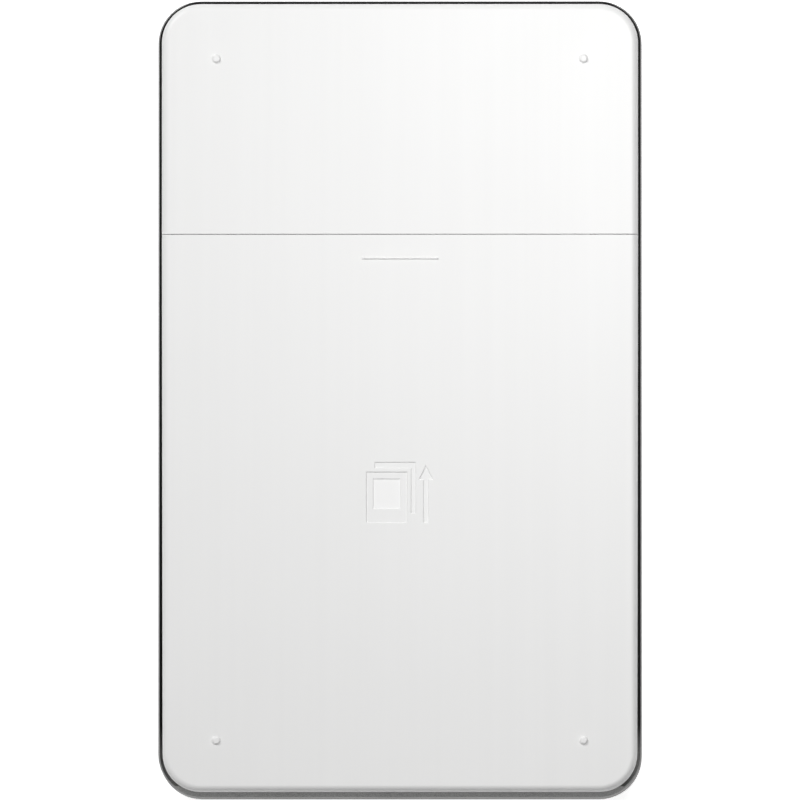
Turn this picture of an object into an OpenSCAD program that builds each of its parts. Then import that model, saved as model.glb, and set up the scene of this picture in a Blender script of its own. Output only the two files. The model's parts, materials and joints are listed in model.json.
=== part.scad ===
// Compact photo printer for 50 x 76 mm sheets.
// X runs across the case, Y along it towards the end where prints come out, Z up from the resting face.
// The origin is the middle of the resting face. All lengths are in millimetres, all angles in degrees.

/* [Case] */
// Width across the side band
body_w = 74; // [73:0.5:80]
// Length over the ends of the side band
body_l = 121.9; // [119:0.1:128]
// Height from the resting face to the face of the cover, without the pips
body_h = 20.4; // [20.2:0.1:23]
// Radius of the upright corners of the side band
corner_r = 6.5; // [6:0.25:7.5]
// How far the base shell and the top panels stand back from the side band
panel_inset = 0.45; // [0.4:0.05:0.8]
// Wall of the side band
band_wall = 1.6; // [1.2:0.1:1.8]
// Rounding of the top edge of the side band
band_edge_r = 0.3; // [0.15:0.05:0.4]
// Thickness of the lip outside the groove round the top panels
lip_rim = 0.25; // [0.2:0.05:0.35]
// Depth of the groove round the top panels
groove_depth = 0.6; // [0.3:0.05:0.8]
// Height of the base shell
base_h = 4; // [3.4:0.1:4.4]
// Wall of the base shell
base_wall = 1.6; // [1.3:0.1:1.8]
// Floor of the base shell
floor_t = 1.5; // [1.2:0.1:1.6]
// Rounding of the lower edge of the base shell
base_edge_r = 2; // [1:0.1:2.2]

/* [Top panels] */
// Height of the skirt round the cover and the head panel
panel_h = 3.1; // [2.9:0.1:3.5]
// Thickness of the cover and the head panel
panel_t = 1.5; // [1.2:0.1:1.7]
// Rounding of the upper edges of the cover and the head panel
panel_edge_r = 1.2; // [0.6:0.1:1.3]
// Gap between the skirt of the top panels and the side band
skirt_gap = 0.3; // [0.25:0.05:0.5]
// Length of the fixed head panel, with the side band's overhang at its end
head_l = 35.9; // [35:0.1:37]
// Width of the seam between the head panel and the cover
seam_w = 0.15; // [0.12:0.01:0.4]
// Diameter of the four pips that lift the top panels off a table
pip_d = 1.2; // [0.8:0.1:2]
// Height of the pips
pip_h = 0.4; // [0.2:0.05:0.6]
// Distance from the sides of the case to the middle of the pips
pip_side = 8.9; // [6:0.1:12]
// Distance from the head end of the case to the middle of its pips
pip_end = 9; // [6:0.1:10]
// Distance from the hinge end of the case to the middle of its pips
pip_tail = 8.5; // [6:0.1:10]
// Width of the thumb ridge on the cover
ridge_w = 11.8; // [8:0.1:16]
// Thickness of the thumb ridge
ridge_t = 0.35; // [0.25:0.05:0.6]
// Height of the thumb ridge
ridge_h = 0.25; // [0.15:0.05:0.4]
// Distance from the seam to the thumb ridge
ridge_from_seam = 3.7; // [2:0.1:6]

/* [Paper tray] */
// Distance from the sides of the case to the inside of the tray
tray_side = 11; // [10.8:0.05:11.2]
// Distance from the hinge end of the case to the inside of the tray
tray_end = 7; // [6.4:0.05:7.2]
// Height of the tray floor, which is also the height at which the sheets travel
paper_z = 9.8; // [9.8:0.05:10]
// Thickness of the tray floor
tray_t = 1.2; // [1:0.1:1.4]
// Thickness of the tray walls
tray_wall = 0.8; // [0.6:0.05:0.9]
// Thickness of the rim round the tray
rim_t = 0.9; // [0.7:0.05:1]
// Thickness of the ribs under the panels, the tray's rim and the battery's fence
rib_t = 0.8; // [0.6:0.1:1.2]
// Height of the gate that the sheets leave the tray through
gate_h = 1.4; // [1:0.1:1.8]

/* [Cover hinge] */
// Distance from the end of the case to the hinge axis
hinge_inset = 3.2; // [3.1:0.05:3.3]
// Height of the hinge axis above the resting face
hinge_z = 8.8; // [8.6:0.05:9]
// Diameter of the hinge pins
hinge_pin_d = 1.5; // [1.2:0.1:1.7]
// Thickness of the bracket's plate
bracket_t = 0.6; // [0.5:0.05:0.7]
// Thickness of the bracket's arms
arm_t = 1.2; // [0.9:0.05:1.4]
// Width of the bracket's arms, seen from the side
arm_w = 2.4; // [2:0.1:2.6]
// Reach of the arms from the hinge axis towards the head
arm_reach = 9.5; // [9:0.1:10]
// Distance from the side walls of the tray to the tongue that the cover slides on
tongue_side = 6.3; // [5:0.1:8]
// Travel of the cover on the bracket
cover_travel = 3; // [2:0.1:3.2]
// Sliding clearance between the cover's rails and the tongue
slide_fit = 0.15; // [0.1:0.01:0.2]

/* [Rollers] */
// Gap between the drive gears and the head end of the side band
drive_gap = 2.45; // [1:0.05:2.6]
// Diameter of the platen's rubber
platen_d = 7.8; // [7.6:0.05:7.9]
// Diameter of the platen's shaft
platen_shaft_d = 2.5; // [2:0.1:3]
// Diameter of the pickup tyre
pickup_d = 8.2; // [8.1:0.05:8.3]
// Length of the pickup tyre
pickup_l = 18; // [12:0.5:24]
// Diameter of the pickup shaft
pickup_shaft_d = 2; // [1.6:0.1:2.4]
// Height of both roller axes above the resting face
roller_z = 6.1; // [6.05:0.01:6.15]
// Thickness of the mechanism's side plates
plate_t = 0.6; // [0.5:0.05:0.8]
// Running clearance round shafts and pins
run_fit = 0.05; // [0.03:0.01:0.08]

/* [Gears] */
// Gear module
gear_module = 0.4;
// Teeth of the motor pinion
pinion_teeth = 12;
// Teeth of the large wheel of the first gear
first_big_teeth = 30;
// Teeth of the small wheel of the first gear
first_small_teeth = 12;
// Teeth of the large wheel of the second gear
second_big_teeth = 24;
// Teeth of the small wheel of the second gear
second_small_teeth = 14;
// Teeth of the platen gear
platen_teeth = 20;
// Teeth of the idler between the rollers
idler_teeth = 30;
// Teeth of the pickup gear
pickup_teeth = 20;
// Width of the gears
gear_w = 1.2; // [0.9:0.05:1.25]
// Play left between the teeth of two gears
backlash = 0.14; // [0.1:0.01:0.2]
// Diameter of the studs that the gears turn on
stud_d = 1; // [0.8:0.05:1.2]

/* [Print head] */
// Length of the print head, front to back
head_plate_l = 12; // [10:0.1:13]
// Thickness of the print head's ceramic plate
head_plate_t = 1; // [0.8:0.05:1.2]
// How far the print head's ends stand back from those of the platen
head_side = 0.5; // [0.3:0.05:0.8]
// Height of the heat sink
sink_h = 2.2; // [1.8:0.1:2.4]
// Diameter of the rod that the print head swings on
head_rod_d = 1.5; // [1.2:0.1:1.8]
// Gap between the print head and the platen's crown, where a sheet passes
head_gap = 0.3; // [0.25:0.05:0.4]

/* [Motor] */
// Diameter of the motor
motor_d = 6.4; // [6:0.1:6.5]
// Length of the motor
motor_l = 18; // [12:0.5:22]

/* [Battery and board] */
// Distance from the battery to the middle of the case
battery_mid = 2.9; // [2.5:0.1:9]
// Gap between the battery and the side band, and twice that between the battery and the bosses
battery_gap = 1; // [0.8:0.1:2]
// Thickness of the battery
battery_h = 5; // [3.5:0.1:6]
// Thickness of the main board
board_t = 0.8; // [0.6:0.1:1]
// Height of the posts under the main board
board_post_h = 3; // [2.9:0.05:3.1]
// Distance from the hinge end of the case to the charging socket
usb_from_end = 38; // [34:0.5:42]
// Width of the charging socket
usb_w = 7.5;
// Height of the charging socket
usb_h = 2.6;

/* [Button and lights] */
// Distance from the hinge end of the case to the power button
button_from_end = 19; // [16:0.5:21]
// Length of the power button
button_l = 8; // [6:0.1:9]
// Height of the power button
button_h = 2.6; // [2:0.1:2.7]
// Travel of the power button
button_travel = 0.5; // [0.3:0.05:0.6]
// Clearance round the power button
button_fit = 0.2; // [0.15:0.01:0.3]
// Distance from the hinge end of the case to the first light pipe
light_from_end = 26.5; // [26:0.1:28]
// Distance between the two light pipes
light_pitch = 2.5; // [2.4:0.1:4]
// Diameter of the light pipes
light_d = 1.6; // [1.2:0.1:1.8]

/* [Screws] */
// Diameter of the four case screws
case_screw_d = 1.8; // [1.6:0.1:2]
// Length of the case screws under their heads
case_screw_l = 6; // [4:0.5:9]
// Diameter of the small screws
small_screw_d = 1.4; // [1.2:0.1:1.6]

/* [Hidden] */
$fn = 48;
// How far a cutting shape runs past the face that it cuts
over = 1;

// The mechanism's heights, rollers, gears and motor are given for a case of this height, and follow it
mech_for_h = 20.4;
k = body_h / mech_for_h;
sheet_z = k * paper_z;
pivot_z = k * hinge_z;
axis_z = k * roller_z;
rubber_d = k * platen_d;
tyre_d = k * pickup_d;
can_d = k * motor_d;
tooth = k * gear_module;

// Levels above the resting face
skirt_z = body_h - panel_h;
skin_z = body_h - panel_t;
band_top = skirt_z - skirt_gap;
rim_drop = 0.6;
rim_top = band_top - rim_drop;
rim_z = rim_top - rim_t;
tray_z = sheet_z - tray_t;
tongue_gap = 0.8;
tongue_z = skin_z - tongue_gap - bracket_t;

// Outlines seen from above
panel_w = body_w - 2 * panel_inset;
panel_l = body_l - 2 * panel_inset;
panel_r = corner_r - panel_inset;
inner_w = body_w - 2 * band_wall;
inner_l = body_l - 2 * band_wall;
inner_r = corner_r - band_wall;
seam_y = body_l / 2 - head_l;

// Depth from which posts rise inside the base shell's floor
post_root = 0.5;
post_root_z = floor_t - post_root;

// Groove in the top of the side band, which reaches a little way under the skirt of the panels
groove_under = 0.4;
groove_w = panel_inset - lip_rim + groove_under;

// Stiffening ribs, which start a little way inside what they stiffen
rib_drop = 1;
rib_root = 0.3;

// Lap joint between the base shell and the side band
lap_h = 0.8;
lap_t = 0.8;
lap_fit = 0.2;

// Ledge inside the side band that carries the tray's rim
ledge_w = 0.8;
ledge_h = 1.2;
rim_fit = 0.2;

// Relief at the hinge end of the side band, under the swinging skirt
relief_reach = 1.6;
relief_drop = 0.5;

// Inside of the paper tray
tray_half = body_w / 2 - tray_side;
tray_back = tray_end - body_l / 2;
gusset_w = 5.5;
gusset_h = 5;
gusset_ys = [tray_back + 15, tray_back + 27, tray_back + 39];

// Cover hinge
hinge_y = hinge_inset - body_l / 2;
hub_over = 0.2;
hub_r = arm_w / 2 + hub_over;
arm_gap = 0.3;
arm_x = tray_half + tray_wall + arm_gap;
lug_x = arm_x + arm_t + arm_gap;
lug_t = 1.6;
lug_wall = 0.75;
lug_r = hinge_pin_d / 2 + lug_wall;
lug_back = 0.5;
arm_rise = 3.4;
arm_elbow = [arm_reach, arm_rise];
arm_head_z = tongue_z - pivot_z;
slot_back = 1.8;
slot_gap = 0.5;
slot_front = arm_reach + arm_w / 2 + slot_gap;
cross_l = 4;
cross_y = hinge_y + arm_reach - arm_w / 2;
tongue_w = 2 * (tray_half - tongue_side);
tongue_from_seam = 6.7;
tongue_end = seam_y - tongue_from_seam;

// Rails under the cover
rail_t = 0.8;
lip_w = 1;
lip_t = 0.5;
rail_x = tongue_w / 2 + slide_fit;
rail_gap = 1.5;
rail_from_end = 3;
rail_y = cross_y + cross_l + cover_travel + rail_gap;
rail_end = tongue_end - rail_from_end;

// Ribs inside the top panels
rib_gap = 0.6;
rib_x = lug_x + lug_t + rib_gap;
front_rib_gap = 0.4;
front_rib_y = tongue_end + cover_travel + front_rib_gap;
head_rib_ys = [seam_y + 9, seam_y + 20];

// Pressure pad and its hinge under the tongue
pad_side = 9;
pad_w = 2 * (tray_half - pad_side);
pad_t = 1;
felt_t = 0.6;
felt_w = 16;
felt_l = 6.6;
felt_end = 2.6;
felt_gap = 0.3;
pad_pin_d = 1.2;
pad_hub_r = 1.2;
pad_hub_l = 3.4;
pad_hub_x = 10;
pad_ear_t = 1;
pad_ear_w = 2.4;
pad_pin_drop = 1.6;
pad_pin_end = 0.1;
pad_pin_from_roller = 21.4;
pad_bend_from_roller = 11.4;
pad_tip_from_roller = 3;
spring_w = 8;
spring_t = 0.25;
spring_root_from_roller = 28;
spring_tip_from_roller = 4;
spring_foot_l = 6;

// Mechanism: side plates and gear layers
platen_half = tray_half;
platen_end_gap = 2;
plate_x = platen_half + platen_end_gap;
head_rib_x = plate_x - 1;
layer_gap = 0.3;
mech_lift = 0.9;
mech_z = floor_t + mech_lift;
mech_over_rim = 0.7;
mech_top = rim_z + mech_over_rim;
pressure_angle = 20;
addendum = 0.85 * tooth;
dedendum = 1.2 * tooth;

// Centre of a gear that meshes with a gear at p, in the direction of angle
function centre(p, teeth_a, teeth_b, angle) =
    p + tooth * (teeth_a + teeth_b) / 2 * [cos(angle), sin(angle)];
// Turn of gear b that puts a gap where gear a, turned by phase_a, has a tooth
function mesh_phase(phase_a, teeth_a, teeth_b, angle) =
    angle + 180 + 180 / teeth_b - (phase_a - angle) * teeth_a / teeth_b;
// Distance of a gear layer's inner face from the middle of the case
function layer_x(n) = plate_x + plate_t + layer_gap + n * (gear_w + layer_gap);

second_dir = 30;
first_dir = 21;
pinion_dir = -127;
idler_dir = 168;
drive_reach = centre(centre([0, 0], platen_teeth, second_small_teeth, second_dir), second_big_teeth,
                     first_small_teeth, first_dir)[0] + tooth * first_big_teeth / 2 + addendum;
platen_y = inner_l / 2 - drive_gap - drive_reach;
platen_p = [platen_y, axis_z];
second_p = centre(platen_p, platen_teeth, second_small_teeth, second_dir);
first_p = centre(second_p, second_big_teeth, first_small_teeth, first_dir);
motor_p = centre(first_p, first_big_teeth, pinion_teeth, pinion_dir);
idler_p = centre(platen_p, platen_teeth, idler_teeth, idler_dir);
pickup_p = centre(idler_p, idler_teeth, pickup_teeth, -idler_dir);
gate_from_roller = 5.6;
gate_t = 1.2;
gate_y = pickup_p[0] + gate_from_roller;
second_phase = mesh_phase(0, platen_teeth, second_small_teeth, second_dir);
first_phase = mesh_phase(0, second_big_teeth, first_small_teeth, first_dir);
pinion_phase = mesh_phase(0, first_big_teeth, pinion_teeth, pinion_dir);
idler_phase = mesh_phase(0, platen_teeth, idler_teeth, idler_dir);
pickup_phase = mesh_phase(idler_phase, idler_teeth, pickup_teeth, -idler_dir);

// Bushes
bush_wall = 0.85;
bush_flange_w = 0.6;
bush_flange_t = 0.6;

// Shafts
platen_core_d = 5;
pickup_core_d = 5.6;
pickup_core_over = 0.6;
shaft_tail = 0.3;
motor_shaft_d = 0.8;
motor_shaft_in = 3;
motor_boss_d = 2.4;
stud_head_d = 1.8;
stud_head_t = 0.3;
stud_end_play = 0.1;

// Side plates, seen from the side
plate_reach = 6.4;
plate_end_gap = 4;
plate_front = pickup_p[0] - plate_reach * k;
plate_back = body_l / 2 - plate_end_gap;
plate_step = 7;
plate_step_y = platen_y - plate_step * k;
plate_low_h = 9;
plate_low = plate_low_h * k;
bridge_reach = 4.5;
bridge_front = platen_y - bridge_reach * k;
bridge_l = 6;
cross_l_front = 2;
cross_gap = 5;
motor_gap = 0.45;
cross_spans = [
    [plate_front, plate_front + cross_l_front],
    [gate_y, platen_y - cross_gap],
    [motor_p[0] + can_d / 2 + motor_gap, plate_back]
];

// Print head
head_z = axis_z + rubber_d / 2 + head_gap;
sink_z = head_z + head_plate_t;
sink_x = platen_half - head_side;
head_front = platen_y - head_plate_l / 2;
rod_reach = 9.5;
rod_lift = 0.9;
rod_p = [platen_y + rod_reach * k, sink_z + rod_lift];
sink_ear_r = 1.6;
fin_pitch = 1.8;
fin_w = 0.8;
fin_h = 1;
fin_end_gap = 3;
head_spring_x = 15;
head_spring_d = 2.4;

// Exit for the finished prints
exit_side = 0.8;
exit_half = tray_half + exit_side;
exit_wall = 0.8;
exit_low_t = 0.7;
exit_gap = 1.4;
exit_lip_l = 8;
exit_platen_gap = 0.4;
exit_step = 0.2;
guide_pitch = 12;
guide_rib_h = 0.15;
exit_end_gap = 0.2;
exit_front = platen_y + rubber_d / 2 + exit_platen_gap;
exit_low_z = sheet_z - exit_step;
exit_back = inner_l / 2 - exit_end_gap;
exit_slot_side = 1;
exit_slot_w = 2 * (tray_half + exit_slot_side);
exit_slot_h = 2.2;
exit_slot_lift = 0.3;
exit_slot_z = sheet_z + exit_slot_lift;
exit_leg_side = 4;
exit_leg_x = tray_half - exit_leg_side;
exit_leg_end = 2.5;
exit_leg_w = 4;
exit_leg_t = 1;

// Case screws and their bosses
case_boss_wall = 1.2;
case_head_over = 1.3;
case_boss_d = case_screw_d + 2 * case_boss_wall;
case_head_d = case_screw_d + case_head_over;
case_head_h = 0.9;
case_seat_depth = 1;
case_seat_z = rim_top - case_seat_depth;
case_hole_play = 0.2;
pilot_over = 0.5;
case_joint_drop = 3;
case_joint_z = rim_z - case_joint_drop;
case_boss_gap = 0.9;
case_boss_from_end = 10;
case_boss_from_mech = 3;
case_boss_x = inner_w / 2 - case_boss_d / 2 - case_boss_gap;
case_boss_ys = [case_boss_from_end - body_l / 2, plate_front - case_boss_from_mech];

// Small screws
small_screw_l = 2.2;
small_head_over = 1.2;
small_head_d = small_screw_d + small_head_over;
small_head_h = 0.8;
small_boss_wall = 1.3;
small_boss_d = small_screw_d + 2 * small_boss_wall;
ear_out = 1.6;
ear_front = 0.6;
ear_back = 2.8;
ear_x = plate_x + plate_t + ear_out;
ear_ys = [plate_front + ear_front, plate_back - ear_back];

// Battery and main board
battery_x = battery_gap - inner_w / 2;
battery_w = inner_w / 2 - battery_gap - battery_mid;
battery_y = case_boss_ys[0] + case_boss_d / 2 + 2 * battery_gap;
battery_l = case_boss_ys[1] - case_boss_d / 2 - 2 * battery_gap - battery_y;
battery_bevel = 0.7;
fence_gap = 0.3;
fence_h = 2.4;
board_z = floor_t + board_post_h;
board_top = board_z + board_t;
board_x = 2;
board_side_gap = 1.4;
board_end_gap = 4.4;
board_boss_gap = 0.8;
board_post_in = 4;
board_post_side = 3;
board_post_from_usb = 10;
board_edge_x = inner_w / 2 - board_side_gap;
board_notch_x = case_boss_x - case_boss_d / 2 - board_boss_gap;
board_end_y = board_end_gap - inner_l / 2;
board_notch_y = case_boss_ys[0] + case_boss_d / 2 + board_boss_gap;
board_front_y = case_boss_ys[1] - case_boss_d / 2 - board_boss_gap;
usb_y = usb_from_end - body_l / 2;
board_posts = [
    [board_x + board_post_in, board_end_y + board_post_in],
    [board_x + board_post_in, board_front_y - board_post_in],
    [board_edge_x - board_post_side, usb_y + board_post_from_usb]
];
board_grid = 0.5;

// What faces the right-hand side of the band
port_z = board_top + usb_h / 2;
usb_depth = 5.5;
usb_recess = 0.8;
port_margin = 0.7;
button_y = button_from_end - body_l / 2;
button_flange = 0.4;
button_flange_t = 0.6;
button_lift = 0.2;
light_ys = [light_from_end - body_l / 2, light_from_end + light_pitch - body_l / 2];
light_flange = 0.4;
switch_gap = 0.05;
switch_d = 2.6;
switch_l = 5;
plunger_d = 1.4;
plunger_l = 0.7;
switch_h = 2.2;

// Leads
wire_d = 0.8;
wire_pitch = 1;
battery_wire_pitch = 1.2;
motor_wire_lift = 1.2;
motor_wire_gap = 1;
motor_wire_z = motor_p[1] + motor_wire_lift;
motor_wire_x = plate_x + plate_t + motor_wire_gap;
wire_bend = 1.6;
lead_hole_d = 3;
plug_h = 2.2;
motor_plug_l = 3.4;
motor_plug_in = 0.6;
motor_plug_y = board_front_y - motor_plug_l - motor_plug_in;
battery_plug_in = 2;
battery_plug_x = board_x + battery_plug_in;
battery_plug_y = button_y;
battery_plug_l = 5.2;
flex_t = 0.2;
flex_gap = 0.4;
flex_x = plate_x + plate_t + flex_gap;
flex_w = 4;
flex_lift = 9.4;
flex_low = flex_lift * k;
flex_tab_reach = 3;
flex_tab_y = platen_y + flex_tab_reach;
flex_tab_z = sink_z + flex_gap;
flex_plug_in = 10;
flex_plug_y = board_front_y - flex_plug_in;
flex_plug_h = 1.6;

// Paper sensor under the tray floor
sensor_size = [4, 3, 1.2];
sensor_x = 10;
sensor_from_gate = 26;
sensor_p = [sensor_x, gate_y - sensor_from_gate];
sensor_hole_d = 2;

// Colours
white = [0.93, 0.93, 0.92];
dark_grey = [0.2, 0.2, 0.2];
tray_grey = [0.32, 0.33, 0.34];
steel = [0.72, 0.73, 0.75];
gear_white = [0.9, 0.89, 0.84];
rubber = [0.1, 0.1, 0.1];
copper = [0.78, 0.5, 0.3];

// Rectangle with round corners, centred
module rounded_rect(w, l, r) {
    square([w - 2 * r, l], center = true);
    square([w, l - 2 * r], center = true);
    for (sx = [-1, 1], sy = [-1, 1])
        translate([sx * (w / 2 - r), sy * (l / 2 - r)])
            circle(r);
}

// Half of a plate's profile that ends at r, with its lower outer edge rounded
module edge_profile(r, e, h) {
    square([r - e, h]);
    translate([0, e])
        square([r, h - e]);
    intersection() {
        translate([r - e, e])
            circle(e);
        square([r, e]);
    }
}

// Solid with round upright corners and a rounded lower edge
module pan(w, l, r, e, h) {
    for (q = [0 : 3])
        rotate([0, 0, 90 * q])
            translate(q % 2 == 0 ? [w / 2 - r, l / 2 - r, 0] : [l / 2 - r, w / 2 - r, 0])
                rotate_extrude(angle = 90)
                    edge_profile(r, e, h);
    for (s = [0, 1])
        rotate([90, 0, 90 * s])
            linear_extrude((s == 0 ? l : w) - 2 * r, center = true)
                for (m = [0, 1])
                    mirror([m, 0])
                        edge_profile((s == 0 ? w : l) / 2, e, h);
}

// The same solid with its upper edge rounded, standing on z
module lid(w, l, r, e, h, z) {
    translate([0, 0, z + h])
        mirror([0, 0, 1])
            pan(w, l, r, e, h);
}

// Upright wall that follows the outline
module ring(w, l, r, t, z0, z1) {
    translate([0, 0, z0])
        linear_extrude(z1 - z0)
            difference() {
                rounded_rect(w, l, r);
                rounded_rect(w - 2 * t, l - 2 * t, r - t);
            }
}

// Box from its lowest and highest corners
module block(lo, hi) {
    translate(lo)
        cube(hi - lo);
}

// Upright cylinder from z0 to z1
module post(x, y, d, z0, z1) {
    translate([x, y, z0])
        cylinder(d = d, h = z1 - z0);
}

// Shape drawn in Y and Z, made solid from x0 to x1
module from_side(x0, x1) {
    translate([x0, 0, 0])
        rotate([90, 0, 90])
            linear_extrude(x1 - x0)
                children();
}

// Round bar along X at p = [y, z]
module axle(p, d, x0, x1) {
    from_side(x0, x1)
        translate(p)
            circle(d = d);
}

// Straight strip with round ends, in a plane
module strip(a, b, w) {
    run = b - a;
    translate(a)
        rotate(atan2(run[1], run[0]))
            translate([0, -w / 2])
                square([norm(run), w]);
    for (p = [a, b])
        translate(p)
            circle(d = w);
}

function inv_deg(a) = tan(a) * 180 / PI - a;
// Half angle of a tooth at radius r
function tooth_half(r, base_r, half) = half + inv_deg(pressure_angle) - inv_deg(acos(min(1, base_r / r)));

// Involute gear at p, from x0 to x1, turned by phase
module gear(p, teeth, phase, x0, x1) {
    pitch_r = tooth * teeth / 2;
    base_r = pitch_r * cos(pressure_angle);
    root_r = pitch_r - dedendum;
    tip_r = pitch_r + addendum;
    half = 90 / teeth - backlash / 4 / pitch_r * 180 / PI;
    flank = [root_r, max(base_r, root_r + 0.05), pitch_r, tip_r];
    from_side(x0, x1)
        translate(p)
            rotate(phase)
                polygon([
                    for (t = [0 : teeth - 1], s = [-1, 1], i = [0 : 3])
                        let (
                            r = flank[s < 0 ? i : 3 - i],
                            a = t * 360 / teeth + s * tooth_half(r, base_r, half)
                        )
                            [r * cos(a), r * sin(a)]
                ]);
}

// White shell that the printer rests on, with the posts for what it carries
module base_shell() {
    color(white)
        difference() {
            union() {
                difference() {
                    pan(panel_w, panel_l, panel_r, base_edge_r, base_h);
                    translate([0, 0, floor_t])
                        linear_extrude(base_h)
                            rounded_rect(panel_w - 2 * base_wall, panel_l - 2 * base_wall,
                                         panel_r - base_wall);
                }
                ring(inner_w - 2 * lap_fit, inner_l - 2 * lap_fit, inner_r - lap_fit, lap_t,
                     base_h - lap_h, base_h + lap_h);
                for (s = [-1, 1], y = case_boss_ys)
                    post(s * case_boss_x, y, case_boss_d, post_root_z, case_joint_z);
                for (s = [-1, 1], y = ear_ys)
                    post(s * ear_x, y, small_boss_d, post_root_z, mech_z);
                for (p = board_posts)
                    post(p[0], p[1], small_boss_d, post_root_z, board_z);
                battery_fence();
            }
            for (s = [-1, 1], y = case_boss_ys)
                post(s * case_boss_x, y, case_screw_d, case_seat_z - case_screw_l - pilot_over,
                     case_joint_z + over);
            small_screw_holes();
        }
}

// Low walls that keep the battery in its place
module battery_fence() {
    right = battery_x + battery_w + fence_gap;
    block([right, battery_y, post_root_z], [right + rib_t, battery_y + battery_l, floor_t + fence_h]);
    for (y = [battery_y - fence_gap - rib_t, battery_y + battery_l + fence_gap])
        block([battery_x + battery_w / 4, y, post_root_z],
              [battery_x + battery_w * 3 / 4, y + rib_t, floor_t + fence_h]);
}

// Shanks of the small screws, which are also their holes
module small_screw_holes() {
    for (s = [-1, 1], y = ear_ys)
        post(s * ear_x, y, small_screw_d, mech_z + plate_t - small_screw_l, mech_z + plate_t);
    for (p = board_posts)
        post(p[0], p[1], small_screw_d, board_top - small_screw_l, board_top);
}

// Dark band round the sides, open at the head end for the prints and at the right for the socket
module side_band() {
    color(dark_grey)
        difference() {
            union() {
                difference() {
                    lid(body_w, body_l, corner_r, band_edge_r, band_top - base_h, base_h);
                    translate([0, 0, base_h - over])
                        linear_extrude(body_h)
                            rounded_rect(inner_w, inner_l, inner_r);
                }
                ring(inner_w, inner_l, inner_r, ledge_w, rim_z - ledge_h, rim_z);
            }
            hinge_relief();
            panel_groove();
            block([-exit_slot_w / 2, inner_l / 2 - over, exit_slot_z - exit_slot_h / 2],
                  [exit_slot_w / 2, body_l / 2 + over, exit_slot_z + exit_slot_h / 2]);
            side_slot(usb_y, usb_w + 2 * port_margin, usb_h + 2 * port_margin);
            side_slot(button_y, button_l + 2 * button_fit, button_h + 2 * button_fit);
            for (y = light_ys)
                translate([inner_w / 2 - over, y, port_z])
                    rotate([0, 90, 0])
                        cylinder(d = light_d, h = band_wall + 2 * over);
        }
}

// Groove round the top panels, which ends where the slope at the hinge end starts
module panel_groove() {
    intersection() {
        ring(body_w - 2 * lip_rim, body_l - 2 * lip_rim, corner_r - lip_rim, groove_w,
             band_top - groove_depth, band_top + over);
        block([-body_w, relief_reach - body_l / 2, 0], [body_w, body_l, body_h]);
    }
}

// Slope that lets the cover's skirt swing over the end of the band
module hinge_relief() {
    from_side(-body_w, body_w)
        polygon([
            [relief_reach - body_l / 2, band_top],
            [-body_l / 2, band_top - relief_drop],
            [-body_l / 2 - over, band_top - relief_drop],
            [-body_l / 2 - over, band_top + over],
            [relief_reach - body_l / 2, band_top + over]
        ]);
}

// Slot with round ends through the right-hand wall of the band
module side_slot(y, l, h) {
    from_side(inner_w / 2 - over, body_w / 2 + over)
        strip([y - l / 2 + h / 2, port_z], [y + l / 2 - h / 2, port_z], h);
}

// Shell of both top panels in one piece
module top_panels() {
    difference() {
        lid(panel_w, panel_l, panel_r, panel_edge_r, panel_h, skirt_z);
        translate([0, 0, skirt_z - over])
            linear_extrude(panel_h - panel_t + over)
                rounded_rect(panel_w - 2 * panel_t, panel_l - 2 * panel_t, panel_r - panel_t);
    }
}

// Rib under the skin of a top panel, from its lowest and highest corners seen from above
module panel_rib(lo, hi) {
    block([lo[0], lo[1], skin_z - rib_drop], [hi[0], hi[1], skin_z + rib_root]);
}

// Pair of low domes that keep the panel off a table
module pips(y) {
    dome_r = (pip_d * pip_d / 4 + pip_h * pip_h) / (2 * pip_h);
    for (s = [-1, 1])
        intersection() {
            translate([s * (body_w / 2 - pip_side), y, body_h + pip_h - dome_r])
                sphere(dome_r);
            post(s * (body_w / 2 - pip_side), y, 2 * pip_d, body_h - 0.3, body_h + over);
        }
}

// Fixed white panel over the print head, held by four hooks under the band's ledge
module head_panel() {
    hook_w = 3;
    hook_t = 0.9;
    barb = 0.6;
    barb_h = 0.8;
    hook_x = inner_w / 2 - ledge_w - 0.2 - hook_t;
    hook_ys = [gate_y + gate_t + 4, body_l / 2 - 12];
    color(white) {
        intersection() {
            top_panels();
            block([-body_w, seam_y + seam_w / 2, 0], [body_w, body_l, body_h + over]);
        }
        pips(body_l / 2 - pip_end);
        for (y = head_rib_ys)
            panel_rib([-head_rib_x, y], [head_rib_x, y + rib_t]);
        for (s = [-1, 1], y = hook_ys)
            translate([0, y + hook_w / 2, 0])
                rotate([90, 0, 0])
                    linear_extrude(hook_w)
                        mirror([s < 0 ? 1 : 0, 0])
                            polygon([
                                [hook_x, skin_z + 0.3],
                                [hook_x, rim_z - ledge_h - barb_h - 0.1],
                                [hook_x + hook_t, rim_z - ledge_h - barb_h - 0.1],
                                [hook_x + hook_t + barb, rim_z - ledge_h - 0.3],
                                [hook_x + hook_t + barb, rim_z - ledge_h - 0.1],
                                [hook_x + hook_t, rim_z - ledge_h - 0.1],
                                [hook_x + hook_t, skin_z + 0.3]
                            ]);
    }
}

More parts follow.
